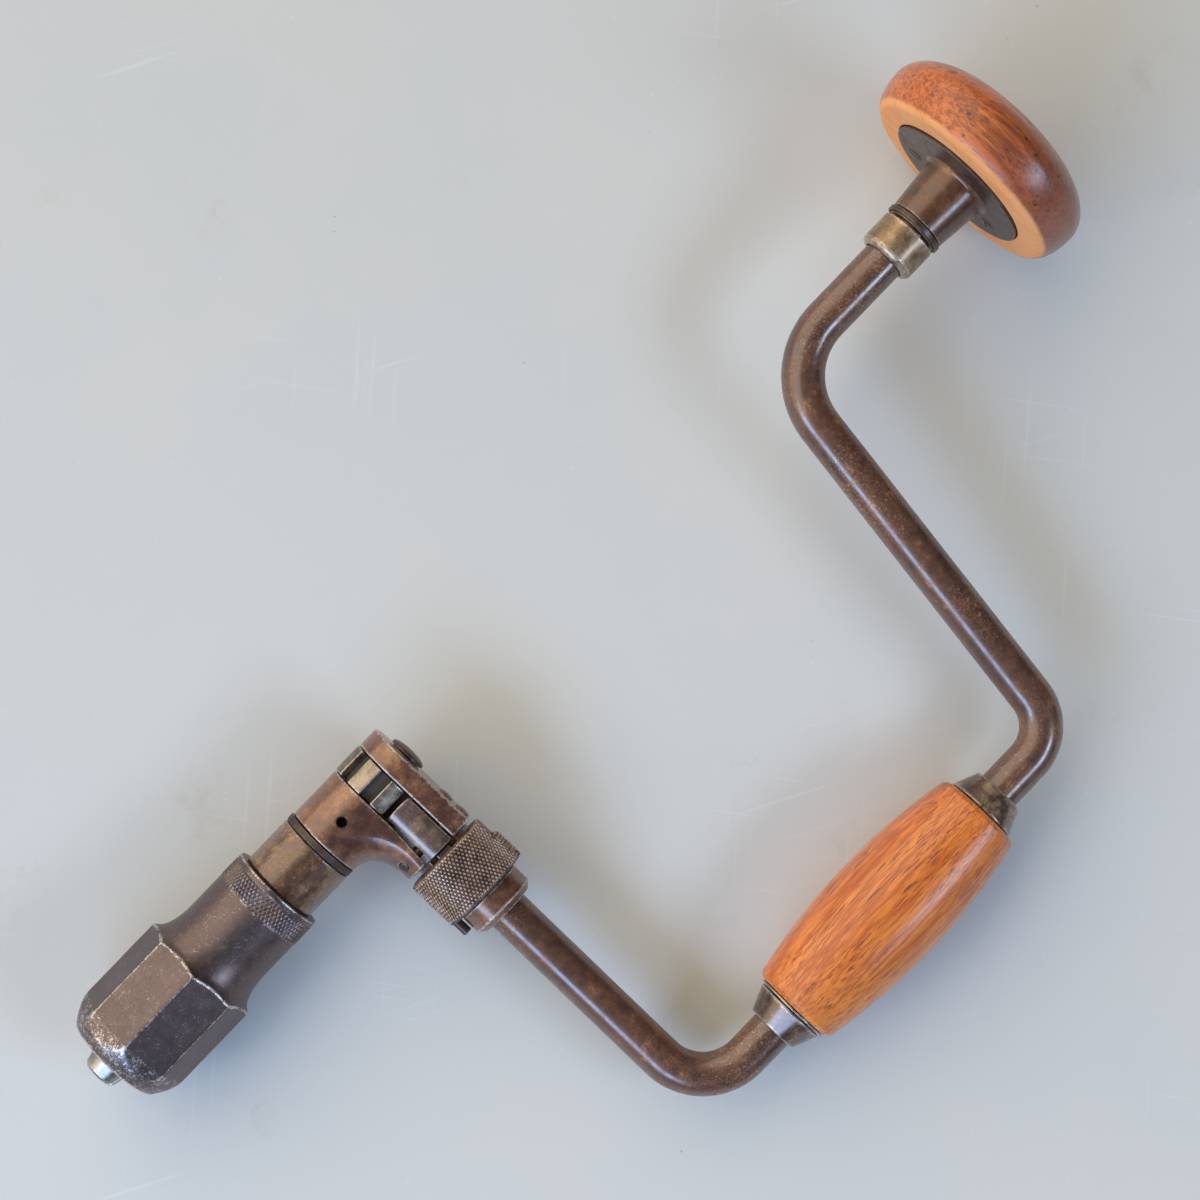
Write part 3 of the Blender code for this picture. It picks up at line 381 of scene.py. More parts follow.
@dataclass(frozen=True)
class Steel:
    """Steel with an old brown skin, worn pale along its edges and darkened in its creases and holes by
    grime and painted shade.

    Attributes:
        name: The material's name.
        dark: The skin's darkest colour.
        brown: Its common colour.
        gold: The colour of its thin patches.
        pale: Bare metal on the edges.
        gilding: How much of the surface is thin patches, 0 to 1.
        wear: How far the edges are worn, 0 to 1.
        rough: The roughness of clean and of dull places.
        coat: The weight of the oily film.
        film: The film's roughness.
        speckle: How strongly fine specks show, 0 to 1.
        pits: How many small pits there are, 0 to 1.
        metallic: How metallic the skin is.
        hairs: How strongly hairline scratches show, 0 to 1.
        mottle: How sharply the dark and the common colour part, 0 to 1.
    """

    name: str
    dark: Rgb
    brown: Rgb
    gold: Rgb
    pale: Rgb
    gilding: float = 0.4
    wear: float = 0.6
    rough: Point2 = (0.3, 0.45)
    coat: float = 0.5
    film: float = 0.18
    speckle: float = 0.4
    pits: float = 0.3
    metallic: float = 0.6
    hairs: float = 0.0
    mottle: float = 0.5

    def material(self) -> bpy.types.Material:
        """Writes the finish's nodes.

        Returns:
            The material.
        """
        sheet = SurfaceSheet(self.name)
        broad = sheet.noise(62, 4, 0.6, warp=0.4)
        mid = sheet.noise(300, 4, 0.62)
        fine = sheet.noise(1300, 3, 0.65)
        specks = fine * 0.5 + sheet.noise(3600, 2, 0.6) * 0.5
        # Near black: the colour of dark specks and pits, and of the grime and painted shade in creases and
        # holes.
        soot_and_shade = tuple(0.22 * c for c in self.dark)
        spread_of_tone = 0.2 - 0.14 * self.mottle
        tone = (broad * 0.55 + mid * 0.45).step(0.5 - spread_of_tone, 0.5 + spread_of_tone)
        skin = sheet.mix(tone, self.dark, self.brown)
        thinned = 0.16 * self.gilding
        thin = (broad * 0.4 + mid * 0.42 + fine * 0.18).step(0.57 - thinned, 0.7 - thinned)
        skin = sheet.mix(thin * (0.3 + 0.6 * self.gilding), skin, self.gold)
        spread = sheet.noise(48, 3).step(0.42, 0.62)
        skin = sheet.mix(specks.step(0.53, 0.66) * spread * self.speckle, skin, self.gold)
        skin = sheet.mix(specks.step(0.46, 0.33) * self.speckle, skin, soot_and_shade)
        pits = sheet.spots(1350, 0.3)
        crowded = 0.3 * self.pits
        pitted = pits * sheet.noise(160, 2).step(0.72 - crowded, 0.86 - crowded)
        skin = sheet.mix(pitted * 0.7, skin, soot_and_shade)
        edge = sheet.edge()
        rubbed = (edge + (mid - 0.5) * 1.2 + (specks - 0.5) * 3.6).step(0.55, 1.05) * self.wear
        if self.hairs:
            lines = sheet.scuffs(((0.5, 3400), (1.5, 3400), (2.4, 3400)), 36.0)
            rubbed = (rubbed + lines * mid.step(0.4, 0.6) * self.hairs).maths("MINIMUM", 1.0)
        # Creases, holes and the feet of teeth (negative wear) are darkened towards near black: partly
        # grime, partly painted shade.
        grime_and_shade = ((mid - 0.5) * 0.8 - edge).step(0.25, 0.7)
        colour = sheet.mix(grime_and_shade * 0.9, sheet.mix(rubbed, skin, self.pale), soot_and_shade)
        patchy = (broad * 0.3 + mid * 0.7).step(0.58, 0.42)
        low, high = self.rough
        dull = (mid * 0.5 + specks * 0.5).step(0.35, 0.65)
        sheet.set(
            base_color=colour, roughness=low + dull * (high - low) + pitted * 0.2 + grime_and_shade * 0.3,
            metallic=(1.0 - grime_and_shade) * self.metallic,
            coat_weight=(1.0 - grime_and_shade) * (0.55 + patchy * 0.45) * self.coat,
            coat_roughness=self.film, coat_ior=1.75,
        )
        sheet.bump(mid * 0.4 + fine * 0.3 + broad * 0.3 - pitted * 0.8, 0.00011, 0.8)
        return sheet.material


@dataclass(frozen=True)
class Wood:
    """Turned and varnished wood, its grain along one axis of the piece.

    Attributes:
        name: The material's name.
        axes: Axes whose Z runs along the grain.
        light: The early wood.
        deep: The late wood.
        pore: The open pores.
        stain: Hand grime, and the colour of the painted shade on one side.
        fleck: How strongly the pores show.
        dents: How many dents there are, 0 to 1.
        gloss: The varnish's weight.
        side_shade: How dark the wood is painted towards one side, as shade on the side away from the room
            lamp.
        side_shade_span: Where that painted shade starts and ends, in metres along the grain.
        bare: The colour of the unvarnished face.
        bare_end: Where that face ends, in metres along bare_axes' Z, or None.
        bare_axes: Axes for the bare face.
    """

    name: str
    axes: Axes
    light: Rgb
    deep: Rgb
    pore: Rgb
    stain: Rgb
    fleck: float = 0.7
    dents: float = 0.3
    gloss: float = 0.4
    side_shade: float = 0.0
    side_shade_span: Point2 = (0.0, 1.0)
    bare: Rgb = (0.6, 0.4, 0.2)
    bare_end: float | None = None
    bare_axes: Axes | None = None

    def material(self) -> bpy.types.Material:
        """Writes the wood's nodes.

        Returns:
            The material.
        """
        sheet = SurfaceSheet(self.name)
        along = sheet.local(self.axes)
        figure = sheet.noise(110, 3, 0.6, self._grain(sheet, 0.06), 0.3)
        streak = sheet.noise(820, 3, 0.6, self._grain(sheet, 0.06))
        hair = sheet.noise(2600, 2, 0.55, self._grain(sheet, 0.06))
        cloud = sheet.noise(52, 4, 0.62, along)
        tone = figure * 0.3 + streak * 0.4 + hair * 0.3
        colour = sheet.mix(tone.step(0.4, 0.6), self.light, self.deep)
        lanes = sheet.noise(330, 2, 0.5, self._grain(sheet, 0.12)).step(0.4, 0.6)
        pores = hair.step(0.55, 0.68) * lanes
        colour = sheet.mix(pores * self.fleck, colour, self.pore)
        blots = sheet.noise(210, 3, 0.6, self._grain(sheet, 0.5)).step(0.6, 0.7)
        grime = blots * cloud.step(0.46, 0.6) * 0.6 + cloud.step(0.52, 0.72) * 0.2
        height = self._height(sheet, along)
        # One side is painted darker, as shade on the side away from the room lamp, mixed with hand grime.
        painted_side_shade = (height + (cloud - 0.5) * 0.03).step(*self.side_shade_span) * self.side_shade
        colour = sheet.mix((painted_side_shade + grime).maths("MINIMUM", 0.9), colour, self.stain)
        crowded = 0.24 * self.dents
        dented = sheet.spots(300, 0.24) * sheet.noise(60, 3, 0.6).step(0.68 - crowded, 0.76 - crowded)
        colour = sheet.mix(dented * 0.8, colour, tuple(0.25 * c for c in self.stain))
        roughness = 0.4 + cloud * 0.14 + grime * 0.1
        coat = (1.0 - grime * 0.5) * self.gloss
        if self.bare_end is not None:
            depth = self._height(sheet, sheet.local(self.bare_axes)) + (cloud - 0.5) * 0.0012
            varnish = depth.step(self.bare_end - 0.0006, self.bare_end + 0.0006)
            faint = (tone * 0.7 + cloud * 0.3).step(0.4, 0.66) * 0.55
            colour = sheet.mix(varnish, sheet.mix(faint, self.bare, self.light), colour)
            roughness = roughness + (1.0 - varnish) * 0.2
            coat = coat * varnish
        sheet.set(
            base_color=colour, roughness=roughness, coat_weight=coat, coat_roughness=0.3,
            specular_ior_level=0.25,
        )
        sheet.bump(cloud * 0.8 + tone * 0.5 - pores * 0.6 - dented * 1.4, 0.00014, 0.8)
        return sheet.material

    def _grain(self, sheet: SurfaceSheet, stretch: float) -> Wire:
        """Coordinates drawn out along the grain, by less the larger the factor."""
        return sheet.local(self.axes, (1.0, 1.0, stretch))

    @staticmethod
    def _height(sheet: SurfaceSheet, place: Wire) -> Wire:
        """The third coordinate of a place."""
        return sheet.out("ShaderNodeSeparateXYZ", None, {0: place}, 2)


@dataclass(frozen=True)
class TableTop:
    """A pale painted table with faint stains, specks and scuffs."""

    pale: Rgb = srgb(211, 210, 204)
    cool: Rgb = srgb(207, 208, 204)
    stain: Rgb = srgb(190, 185, 170)
    chalk: Rgb = srgb(226, 228, 228)
    dirt: Rgb = srgb(150, 146, 138)

    def material(self) -> bpy.types.Material:
        """Writes the table's nodes.

        Returns:
            The material.
        """
        sheet = SurfaceSheet("pale_table")
        grain = sheet.noise(700, 3, 0.6)
        colour = sheet.mix(sheet.noise(6, 4, 0.6).step(0.35, 0.65), self.pale, self.cool)
        smudge = sheet.noise(38, 5, 0.68).step(0.55, 0.75) * sheet.noise(7, 2).step(0.52, 0.66)
        colour = sheet.mix(smudge * 0.55, colour, self.stain)
        lines = sheet.scuffs(((0.7, 620), (-0.5, 540), (2.2, 760)), 40.0)
        chalky = lines * sheet.noise(11, 2).step(0.5, 0.64)
        chalky = chalky + sheet.spots(210, 0.13) * sheet.noise(40, 2).step(0.5, 0.6)
        colour = sheet.mix(chalky.maths("MINIMUM", 1.0) * 0.3, colour, self.chalk)
        specks = sheet.spots(150, 0.07) * sheet.noise(31, 2).step(0.58, 0.66)
        colour = sheet.mix(specks * 0.6, colour, self.dirt)
        sheet.set(base_color=colour, roughness=0.6 + grain * 0.1, specular_ior_level=0.25)
        sheet.bump(grain, 0.00004, 0.5)
        return sheet.material


class Finishes:
    """The brace's finishes, each made once."""

    def __init__(self, layout: Layout) -> None:
        """Makes every material.

        Args:
            layout: The axes that the grain of the wood follows.
        """
        self.patina = Steel(
            "patina_steel", srgb(74, 44, 34), srgb(120, 79, 58), srgb(206, 160, 112),
            srgb(206, 186, 160), gilding=0.16, wear=0.35, rough=(0.4, 0.5), coat=1.0, film=0.21,
            speckle=0.85, pits=0.4, metallic=0.35, mottle=0.35,
        ).material()
        self.bracket = Steel(
            "bracket_steel", srgb(86, 50, 36), srgb(144, 96, 68), srgb(194, 146, 98),
            srgb(216, 202, 188), gilding=0.28, wear=0.65, rough=(0.34, 0.46), coat=1.0, film=0.21,
            speckle=0.85, pits=0.5, metallic=0.4, mottle=0.6,
        ).material()
        self.pawl = Steel(
            "pawl_steel", srgb(100, 80, 73), srgb(146, 122, 107), srgb(190, 156, 108),
            srgb(218, 210, 206), gilding=0.45, wear=0.5, rough=(0.3, 0.42), coat=1.0, film=0.22,
            speckle=0.6, pits=0.35, metallic=0.5, mottle=0.7,
        ).material()
        self.collar = Steel(
            "collar_steel", srgb(82, 50, 34), srgb(132, 98, 74), srgb(192, 158, 108),
            srgb(196, 184, 178), gilding=0.4, wear=0.5, rough=(0.28, 0.42), coat=1.0, film=0.22,
            speckle=0.85, pits=0.45, metallic=0.55, mottle=0.55,
        ).material()
        self.ferrule = Steel(
            "ferrule_steel", srgb(74, 50, 42), srgb(124, 96, 78), srgb(196, 172, 142),
            srgb(206, 192, 178), gilding=0.44, wear=0.5, rough=(0.26, 0.4), coat=1.0, film=0.22,
            speckle=0.55, pits=0.4, metallic=0.6, mottle=0.7,
        ).material()
        self.shell = Steel(
            "shell_steel", srgb(100, 87, 86), srgb(116, 100, 98), srgb(134, 114, 104),
            srgb(222, 212, 206), gilding=0.1, wear=0.85, rough=(0.36, 0.44), coat=0.14, film=0.36,
            speckle=0.5, pits=0.12, metallic=0.92, hairs=0.34, mottle=0.1,
        ).material()
        self.bright = Steel(
            "bright_steel", srgb(112, 98, 84), srgb(168, 156, 142), srgb(190, 162, 122),
            srgb(222, 214, 204), gilding=0.35, wear=0.5, rough=(0.26, 0.42), coat=0.2, speckle=0.4,
            pits=0.4, metallic=0.9,
        ).material()
        self.silver = Steel(
            "jaw_steel", srgb(150, 142, 132), srgb(188, 186, 182), srgb(206, 182, 140),
            srgb(232, 230, 226), gilding=0.3, wear=0.5, rough=(0.3, 0.42), coat=0.2, speckle=0.2,
            pits=0.1, metallic=1.0,
        ).material()
        self.nickel = Steel(
            "worn_nickel", srgb(128, 100, 76), srgb(188, 162, 128), srgb(216, 196, 162),
            srgb(228, 220, 206), gilding=0.45, wear=0.4, rough=(0.38, 0.48), coat=0.3, speckle=0.45,
            pits=0.35, metallic=0.85,
        ).material()
        self.dark = Steel(
            "dark_steel", srgb(60, 44, 40), srgb(86, 66, 58), srgb(124, 94, 72), srgb(150, 130, 112),
            gilding=0.3, wear=0.2, rough=(0.36, 0.5), coat=0.3, film=0.3, speckle=0.3, pits=0.25,
            metallic=0.5,
        ).material()
        self.knurled = Steel(
            "knurled_steel", srgb(84, 63, 51), srgb(124, 99, 84), srgb(160, 130, 100),
            srgb(214, 194, 178), gilding=0.25, wear=0.8, rough=(0.4, 0.5), coat=0.15, film=0.3,
            speckle=0.2, pits=0.1, metallic=0.6,
        ).material()
        self.quill = Steel(
            "quill_steel", srgb(78, 43, 26), srgb(122, 78, 48), srgb(176, 134, 80),
            srgb(196, 176, 150), gilding=0.36, wear=0.3, rough=(0.34, 0.46), coat=0.75, film=0.22,
            speckle=0.5, pits=0.3, metallic=0.4, mottle=0.6,
        ).material()
        self.grip = Wood(
            "grip_wood", layout.grip, srgb(236, 138, 58), srgb(190, 90, 28), srgb(100, 52, 32),
            srgb(104, 68, 58), fleck=0.75, dents=0.2, gloss=1.0,
        ).material()
        self.pad = Wood(
            "pad_wood", layout.arm, srgb(224, 118, 48), srgb(154, 72, 26), srgb(84, 42, 26),
            srgb(94, 56, 50), fleck=0.6, dents=0.8, gloss=1.0, side_shade=0.65, side_shade_span=(-0.02, 0.026),
            bare=srgb(240, 174, 116), bare_end=0.2366, bare_axes=layout.main,
        ).material()


# --------------------------------------
# Shapes


@dataclass
class Shape:
    """A mesh in a sub-assembly's millimetres.

    Attributes:
        points: Vertices, one row each.
        faces: Corner numbers of each face.
        wear: 1 along outer edges, -1 in creases and holes, where grime and painted shade darken the
            colour.
    """

    points: np.ndarray
    faces: list[Sequence[int]]
    wear: np.ndarray

    def grimed_and_shaded_in(self, hole: Field) -> Shape:
        """The same mesh, marked for grime and painted shade wherever it lies inside a hole."""
        return Shape(self.points, self.faces, np.where(hole(self.points) < 0, -1.0, self.wear))

    def placed(self, name: str, axes: Axes, finish: bpy.types.Material) -> bpy.types.Object:
        """Makes the mesh an object at the origin, with its place in its vertices.

        Args:
            name: The piece's name.
            axes: Where its millimetres lie.
            finish: Its material.

        Returns:
            The object.
        """
        mesh = bpy.data.meshes.new(name)
        mesh.from_pydata(axes.world(self.points).tolist(), [], self.faces)
        mesh.materials.append(finish)
        mesh.shade_smooth()
        mesh.attributes.new(WEAR, "FLOAT", "POINT").data.foreach_set("value", self.wear.astype(np.float32))
        piece = bpy.data.objects.new(name, mesh)
        bpy.context.scene.collection.objects.link(piece)
        return piece


def polar(radius: float, angle: float) -> Point2:
    """A flat point at a radius and an angle."""
    return radius * math.cos(angle), radius * math.sin(angle)


def tube(bore: float, *outer: Corner, inside: float = CRISP) -> list[Corner]:
    """A turned piece's whole profile.

    Args:
        bore: The inner radius, or 0 for a piece without a hole.
        outer: (radius, height, rounding) of the outer corners, from the top down.
        inside: The rounding of the two corners on the bore.

    Returns:
        The profile.
    """
    return [(bore, outer[0][1], inside), *outer, (bore, outer[-1][1], inside)]


@dataclass(frozen=True)
class Lathe:
    """Turns rounded profiles about local Z.

    Attributes:
        segments: How many faces go round.
        spacing: The longest face along the profile, in millimetres.
        wear_width: How far the wear reaches from an edge, in millimetres.
    """

    segments: int = 96
    spacing: float = 0.7
    wear_width: float = 0.45

    def turn(self, corners: Sequence[Corner]) -> Shape:
        """Turns a profile.

        Args:
            corners: (radius, height, rounding) down the outer side. A profile that starts off the axis
                is closed.

        Returns:
            The turned shape.
        """
        closed = corners[0][0] > 0
        points, worn = self._rounded(corners, closed)
        points, worn = self._even(points, worn, closed)
        count, around = len(points), self.segments
        angles = np.arange(around) * (math.tau / around)
        ring = np.stack([np.cos(angles), np.sin(angles)], 1)
        rows = np.concatenate([
            points[:, None, 0:1] * ring[None], np.broadcast_to(points[:, None, 1:2], (count, around, 1)),
        ], 2)
        vertices, wear = rows.reshape(-1, 3), np.repeat(worn, around)
        faces: list[Sequence[int]] = []
        span = range(count) if closed else range(1, count - 2)
        for i in span:
            a, b = i * around, (i + 1) % count * around
            for j in range(around):
                k = (j + 1) % around
                faces.append((a + j, b + j, b + k, a + k))
        if closed:
            return Shape(vertices, faces, wear)
        keep = slice(around - 1, (count - 1) * around + 1)
        vertices, wear = vertices[keep], wear[keep]
        last = len(vertices) - 1
        faces = [tuple(c - around + 1 for c in face) for face in faces]
        for j in range(around):
            k = (j + 1) % around
            faces.append((0, 1 + j, 1 + k))
            faces.append((last, last - around + k, last - around + j))
        return Shape(vertices, faces, wear)

    @staticmethod
    def _rounded(corners: Sequence[Corner], closed: bool) -> tuple[np.ndarray, np.ndarray]:
        """Rounds a profile's corners.

        Args:
            corners: (radius, height, rounding) of each corner.
            closed: Whether the last corner leads back to the first.

        Returns:
            The rounded profile, and 1 for its points on outer edges.
        """
        per_radian, sharp = 5, 0.5
        points, worn = [], []
        count = len(corners)
        for i, (radius, height, rounding) in enumerate(corners):
            here = np.array((radius, height))
            if rounding <= 0 or (not closed and i in (0, count - 1)):
                points.append(here)
                worn.append(0.0)
                continue
            back = np.array(corners[i - 1][:2]) - here
            ahead = np.array(corners[(i + 1) % count][:2]) - here
            back, ahead = back / np.linalg.norm(back), ahead / np.linalg.norm(ahead)
            half = math.acos(max(-1.0, min(1.0, float(back @ ahead)))) / 2
            middle = here + (back + ahead) / np.linalg.norm(back + ahead) * rounding / math.sin(half)
            first = here + back * rounding / math.tan(half) - middle
            last = here + ahead * rounding / math.tan(half) - middle
            swing = math.pi - 2 * half
            outer = -back[0] * ahead[1] + back[1] * ahead[0] < 0
            steps = max(2, round(per_radian * swing))
            for j in range(steps + 1):
                share = j / steps
                arc = first * math.sin((1 - share) * swing) + last * math.sin(share * swing)
                points.append(middle + arc / math.sin(swing))
                worn.append(1.0 if outer and swing > sharp else 0.0)
        return np.array(points), np.array(worn)

    def _even(
        self, points: np.ndarray, worn: np.ndarray, closed: bool,
    ) -> tuple[np.ndarray, np.ndarray]:
        """Splits long runs of a profile and spreads the wear from its edges.

        Args:
            points: The rounded profile.
            worn: 1 for its points on outer edges.
            closed: Whether the last point leads back to the first.

        Returns:
            The finer profile and its wear.
        """
        ends = np.roll(points, -1, 0) if closed else points[1:]
        out, edge, travel, runs = [], [], 0.0, []
        for i, end in enumerate(ends):
            length = float(np.linalg.norm(end - points[i]))
            pieces = max(1, math.ceil(length / self.spacing))
            for j in range(pieces):
                out.append(points[i] + (end - points[i]) * j / pieces)
                runs.append(travel + length * j / pieces)
                edge.append(worn[i] if j == 0 else 0.0)
            travel += length
        if not closed:
            out.append(points[-1])
            runs.append(travel)
            edge.append(worn[-1])
        place, edge = np.array(runs), np.array(edge)
        marks = place[edge > 0]
        if len(marks) == 0:
            return np.array(out), edge
        gaps = np.abs(place[:, None] - marks[None])
        if closed:
            gaps = np.minimum(gaps, travel - gaps)
        return np.array(out), np.exp(-((gaps.min(1) / self.wear_width) ** 2))


@dataclass(frozen=True)
class Field:
    """A signed distance in millimetres, negative inside, that joins and cuts as solids do.

    Attributes:
        rule: From points to their distances.
    """

    rule: Callable[[np.ndarray], np.ndarray]

    def __call__(self, points: np.ndarray) -> np.ndarray:
        """The distances of points."""
        return self.rule(points)

    def __neg__(self) -> Field:
        """Everything outside this solid."""
        return Field(lambda points: -self(points))

    def crossed(self, other: Field, edge: float) -> Field:
        """What both solids share, with a rounded edge."""
        return Field(lambda points: rounded_max(self(points), other(points), edge))

    def joined(self, other: Field, fillet: float) -> Field:
        """Both solids, with a fillet where they meet."""
        return -(-self).crossed(-other, fillet)

    def cut(self, other: Field, edge: float) -> Field:
        """This solid without the other, with a rounded edge."""
        return self.crossed(-other, edge)

    def grown(self, by: float) -> Field:
        """The same solid, larger by a distance all round."""
        return Field(lambda points: self(points) - by)

    def seen_from(self, turn: Callable[[np.ndarray], np.ndarray]) -> Field:
        """The same solid, read through a change of axes."""
        return Field(lambda points: self(turn(points)))

    @staticmethod
    def outline(corners: Sequence[Point2], axes: tuple[int, int], edge: float = 0.0) -> Field:
        """An endless bar with a polygon section, its corners rounded outwards by an edge.

        Args:
            corners: The section.
            axes: Which two coordinates the section lies in.
            edge: How far the section grows, rounded.

        Returns:
            The bar.
        """
        (one, two), table = axes, np.array(corners)
        return Field(lambda points: polygon_distance(points[:, one], points[:, two], table) - edge)

    @staticmethod
    def turned(corners: Sequence[Point2], edge: float = 0.0) -> Field:
        """A solid turned about Z.

        Args:
            corners: Its (radius, height) polygon.
            edge: How far the polygon grows, rounded.

        Returns:
            The solid.
        """
        section = Field.outline(corners, (0, 1), edge)
        return section.seen_from(
            lambda points: np.stack([np.hypot(points[:, 0], points[:, 1]), points[:, 2]], 1),
        )

    @staticmethod
    def slab(axis: int, low: float, high: float) -> Field:
        """What lies between two heights along an axis."""
        return Field(lambda points: np.maximum(low - points[:, axis], points[:, axis] - high))

    @staticmethod
    def rod(axes: tuple[int, int], middle: Point2, radius: float) -> Field:
        """An endless round bar.

        Args:
            axes: Which two coordinates its section lies in.
            middle: The section's middle.
            radius: Its radius.

        Returns:
            The bar.
        """
        one, two = axes
        return Field(
            lambda points: np.hypot(points[:, one] - middle[0], points[:, two] - middle[1]) - radius,
        )

    @classmethod
    def core(cls, radius: float) -> Field:
        """An endless round bar about Z."""
        return cls.rod((0, 1), (0.0, 0.0), radius)


def rounded_max(first: np.ndarray, second: np.ndarray, edge: float | np.ndarray) -> np.ndarray:
    """The larger of two distances, rounded where both are near.

    Args:
        first: Distances to one solid.
        second: Distances to the other.
        edge: The rounding's radius.

    Returns:
        The distances to what both share.
    """
    over = np.hypot(np.maximum(first + edge, 0), np.maximum(second + edge, 0))
    return np.minimum(-edge, np.maximum(first, second)) + over


def polygon_distance(across: np.ndarray, along: np.ndarray, corners: np.ndarray) -> np.ndarray:
    """Signed distance of flat points to a polygon.

    Args:
        across: First coordinates.
        along: Second coordinates.
        corners: The polygon.

    Returns:
        The distances, negative inside.
    """
    nearest = np.full(across.shape, np.inf)
    inside = np.zeros(across.shape, bool)
    for (x0, y0), (x1, y1) in zip(corners, np.roll(corners, -1, 0)):
        ex, ey = x1 - x0, y1 - y0
        wx, wy = across - x0, along - y0
        share = np.clip((wx * ex + wy * ey) / (ex * ex + ey * ey), 0, 1)
        nearest = np.minimum(nearest, (wx - share * ex) ** 2 + (wy - share * ey) ** 2)
        if ey != 0:
            crossed = ((y0 > along) != (y1 > along)) & (wx < ex * wy / ey)
            inside ^= crossed
    distance = np.sqrt(nearest)
    return np.where(inside, -distance, distance)


@dataclass(frozen=True)
class Skin:
    """Lays a mesh over a field.

    Attributes:
        step: The grid's step, in millimetres.
        sharp: The bend that counts as a sharp edge, in 1 / mm.
        margin: The room that is searched around a box, in millimetres.
    """

    FLAT_BEND = 0.14
    GAIN = 1.7

    step: float
    sharp: float = 0.5
    margin: float = 0.8

    def over(self, field: Field, low: Sequence[float], high: Sequence[float]) -> Shape:
        """Meshes the part of a field inside a box.

        Args:
            field: The solid.
            low: The box's lowest corner.
            high: The box's highest corner.

        Returns:
            The skin, its vertices drawn onto the field's zero.
        """
        origin = np.array(low, float) - self.margin
        counts = np.ceil((np.array(high) + self.margin - origin) / self.step).astype(int) + 1
        ticks = [origin[i] + self.step * np.arange(counts[i]) for i in range(3)]
        grid = np.stack(np.meshgrid(*ticks, indexing="ij"), -1).reshape(-1, 3)
        values = field(grid).reshape(counts)
        cells = tuple(counts - 1)
        total, hits = np.zeros((*cells, 3)), np.zeros(cells)
        crossings = []
        for axis in range(3):
            start = [slice(None)] * 3
            end = [slice(None)] * 3
            start[axis], end[axis] = slice(0, -1), slice(1, None)
            first, second = values[tuple(start)], values[tuple(end)]
            crossing = (first < 0) != (second < 0)
            share = np.where(crossing, first / np.where(crossing, first - second, 1), 0)
            crossings.append((crossing, first < 0))
            one, two = (axis + 1) % 3, (axis + 2) % 3
            for a in (0, 1):
                for b in (0, 1):
                    window = [slice(None)] * 3
                    window[one] = slice(a, counts[one] - 1 + a)
                    window[two] = slice(b, counts[two] - 1 + b)
                    hit = crossing[tuple(window)]
                    hits += hit
                    total[..., axis] += share[tuple(window)]
                    total[..., one] += a * hit
                    total[..., two] += b * hit
        live = hits > 0
        points = origin + self.step * (np.argwhere(live) + total[live] / hits[live][:, None])
        numbers = np.full(cells, -1)
        numbers[live] = np.arange(len(points))
        return self._settled(field, points, self._faces(crossings, numbers))

    @staticmethod
    def _faces(
        crossings: list[tuple[np.ndarray, np.ndarray]], numbers: np.ndarray,
    ) -> list[Sequence[int]]:
        """Makes a face of the four cells round every crossed grid edge.

        Args:
            crossings: For each axis, which grid edges are crossed and which of them start inside.
            numbers: The vertex in each cell.

        Returns:
            The faces, pointing outwards.
        """
        faces: list[Sequence[int]] = []
        for axis, (crossing, inside) in enumerate(crossings):
            one, two = (axis + 1) % 3, (axis + 2) % 3
            edges = np.argwhere(crossing)
            room = numbers.shape
            fits = (edges[:, one] > 0) & (edges[:, two] > 0)
            fits &= (edges[:, one] < room[one]) & (edges[:, two] < room[two])
            edges = edges[fits]
            quads = []
            for a, b in ((-1, -1), (0, -1), (0, 0), (-1, 0)):
                cell = edges.copy()
                cell[:, one] += a
                cell[:, two] += b
                quads.append(numbers[tuple(cell.T)])
            quads = np.stack(quads, 1)
            outward = inside[tuple(edges.T)]
            quads[~outward] = quads[~outward][:, ::-1]
            faces += quads.tolist()
        return faces

    def _settled(self, field: Field, points: np.ndarray, faces: list[Sequence[int]]) -> Shape:
        """Draws the vertices onto the surface.

        Args:
            field: The solid.
            points: The vertices.
            faces: The faces.

        Returns:
            The skin, with the wear of its edges.
        """
        nudge, passes, tiny = 0.02, 4, 1e-9
        for _ in range(passes):
            slopes = np.stack([
                field(points + nudge * unit) - field(points - nudge * unit) for unit in np.eye(3)
            ], 1)
            normals = slopes / np.maximum(np.linalg.norm(slopes, axis=1, keepdims=True), tiny)
            pull = np.clip(field(points), -self.step, self.step)
            points = points - normals * pull[:, None]
        return Shape(points, faces, self._edges(points, np.array(faces), normals))

    def _edges(self, points: np.ndarray, faces: np.ndarray, normals: np.ndarray) -> np.ndarray:
        """Reads how sharply the skin bends.

        Args:
            points: The vertices.
            faces: The faces, four corners each.
            normals: The vertices' normals.

        Returns:
            Each vertex's bend, outwards as 1 and inwards as -1, spread a little.
        """
        count = len(points)
        starts, ends = faces.ravel(), np.roll(faces, -1, 1).ravel()
        starts, ends = np.concatenate([starts, ends]), np.concatenate([ends, starts])
        share = 1 / np.maximum(np.bincount(starts, minlength=count), 1)
        run = points[ends] - points[starts]
        drop = -2 * (run * normals[starts]).sum(1) / np.maximum((run * run).sum(1), 1e-4)
        bend = np.bincount(starts, drop, count) * share
        wear = np.sign(bend) * np.clip((np.abs(bend) - self.FLAT_BEND) / self.sharp, 0, 1)
        for _ in range(2):
            wear = 0.5 * wear + 0.5 * np.bincount(starts, wear[ends], count) * share
        return np.clip(self.GAIN * wear, -1, 1)


# --------------------------------------
# Repeated and swept pieces


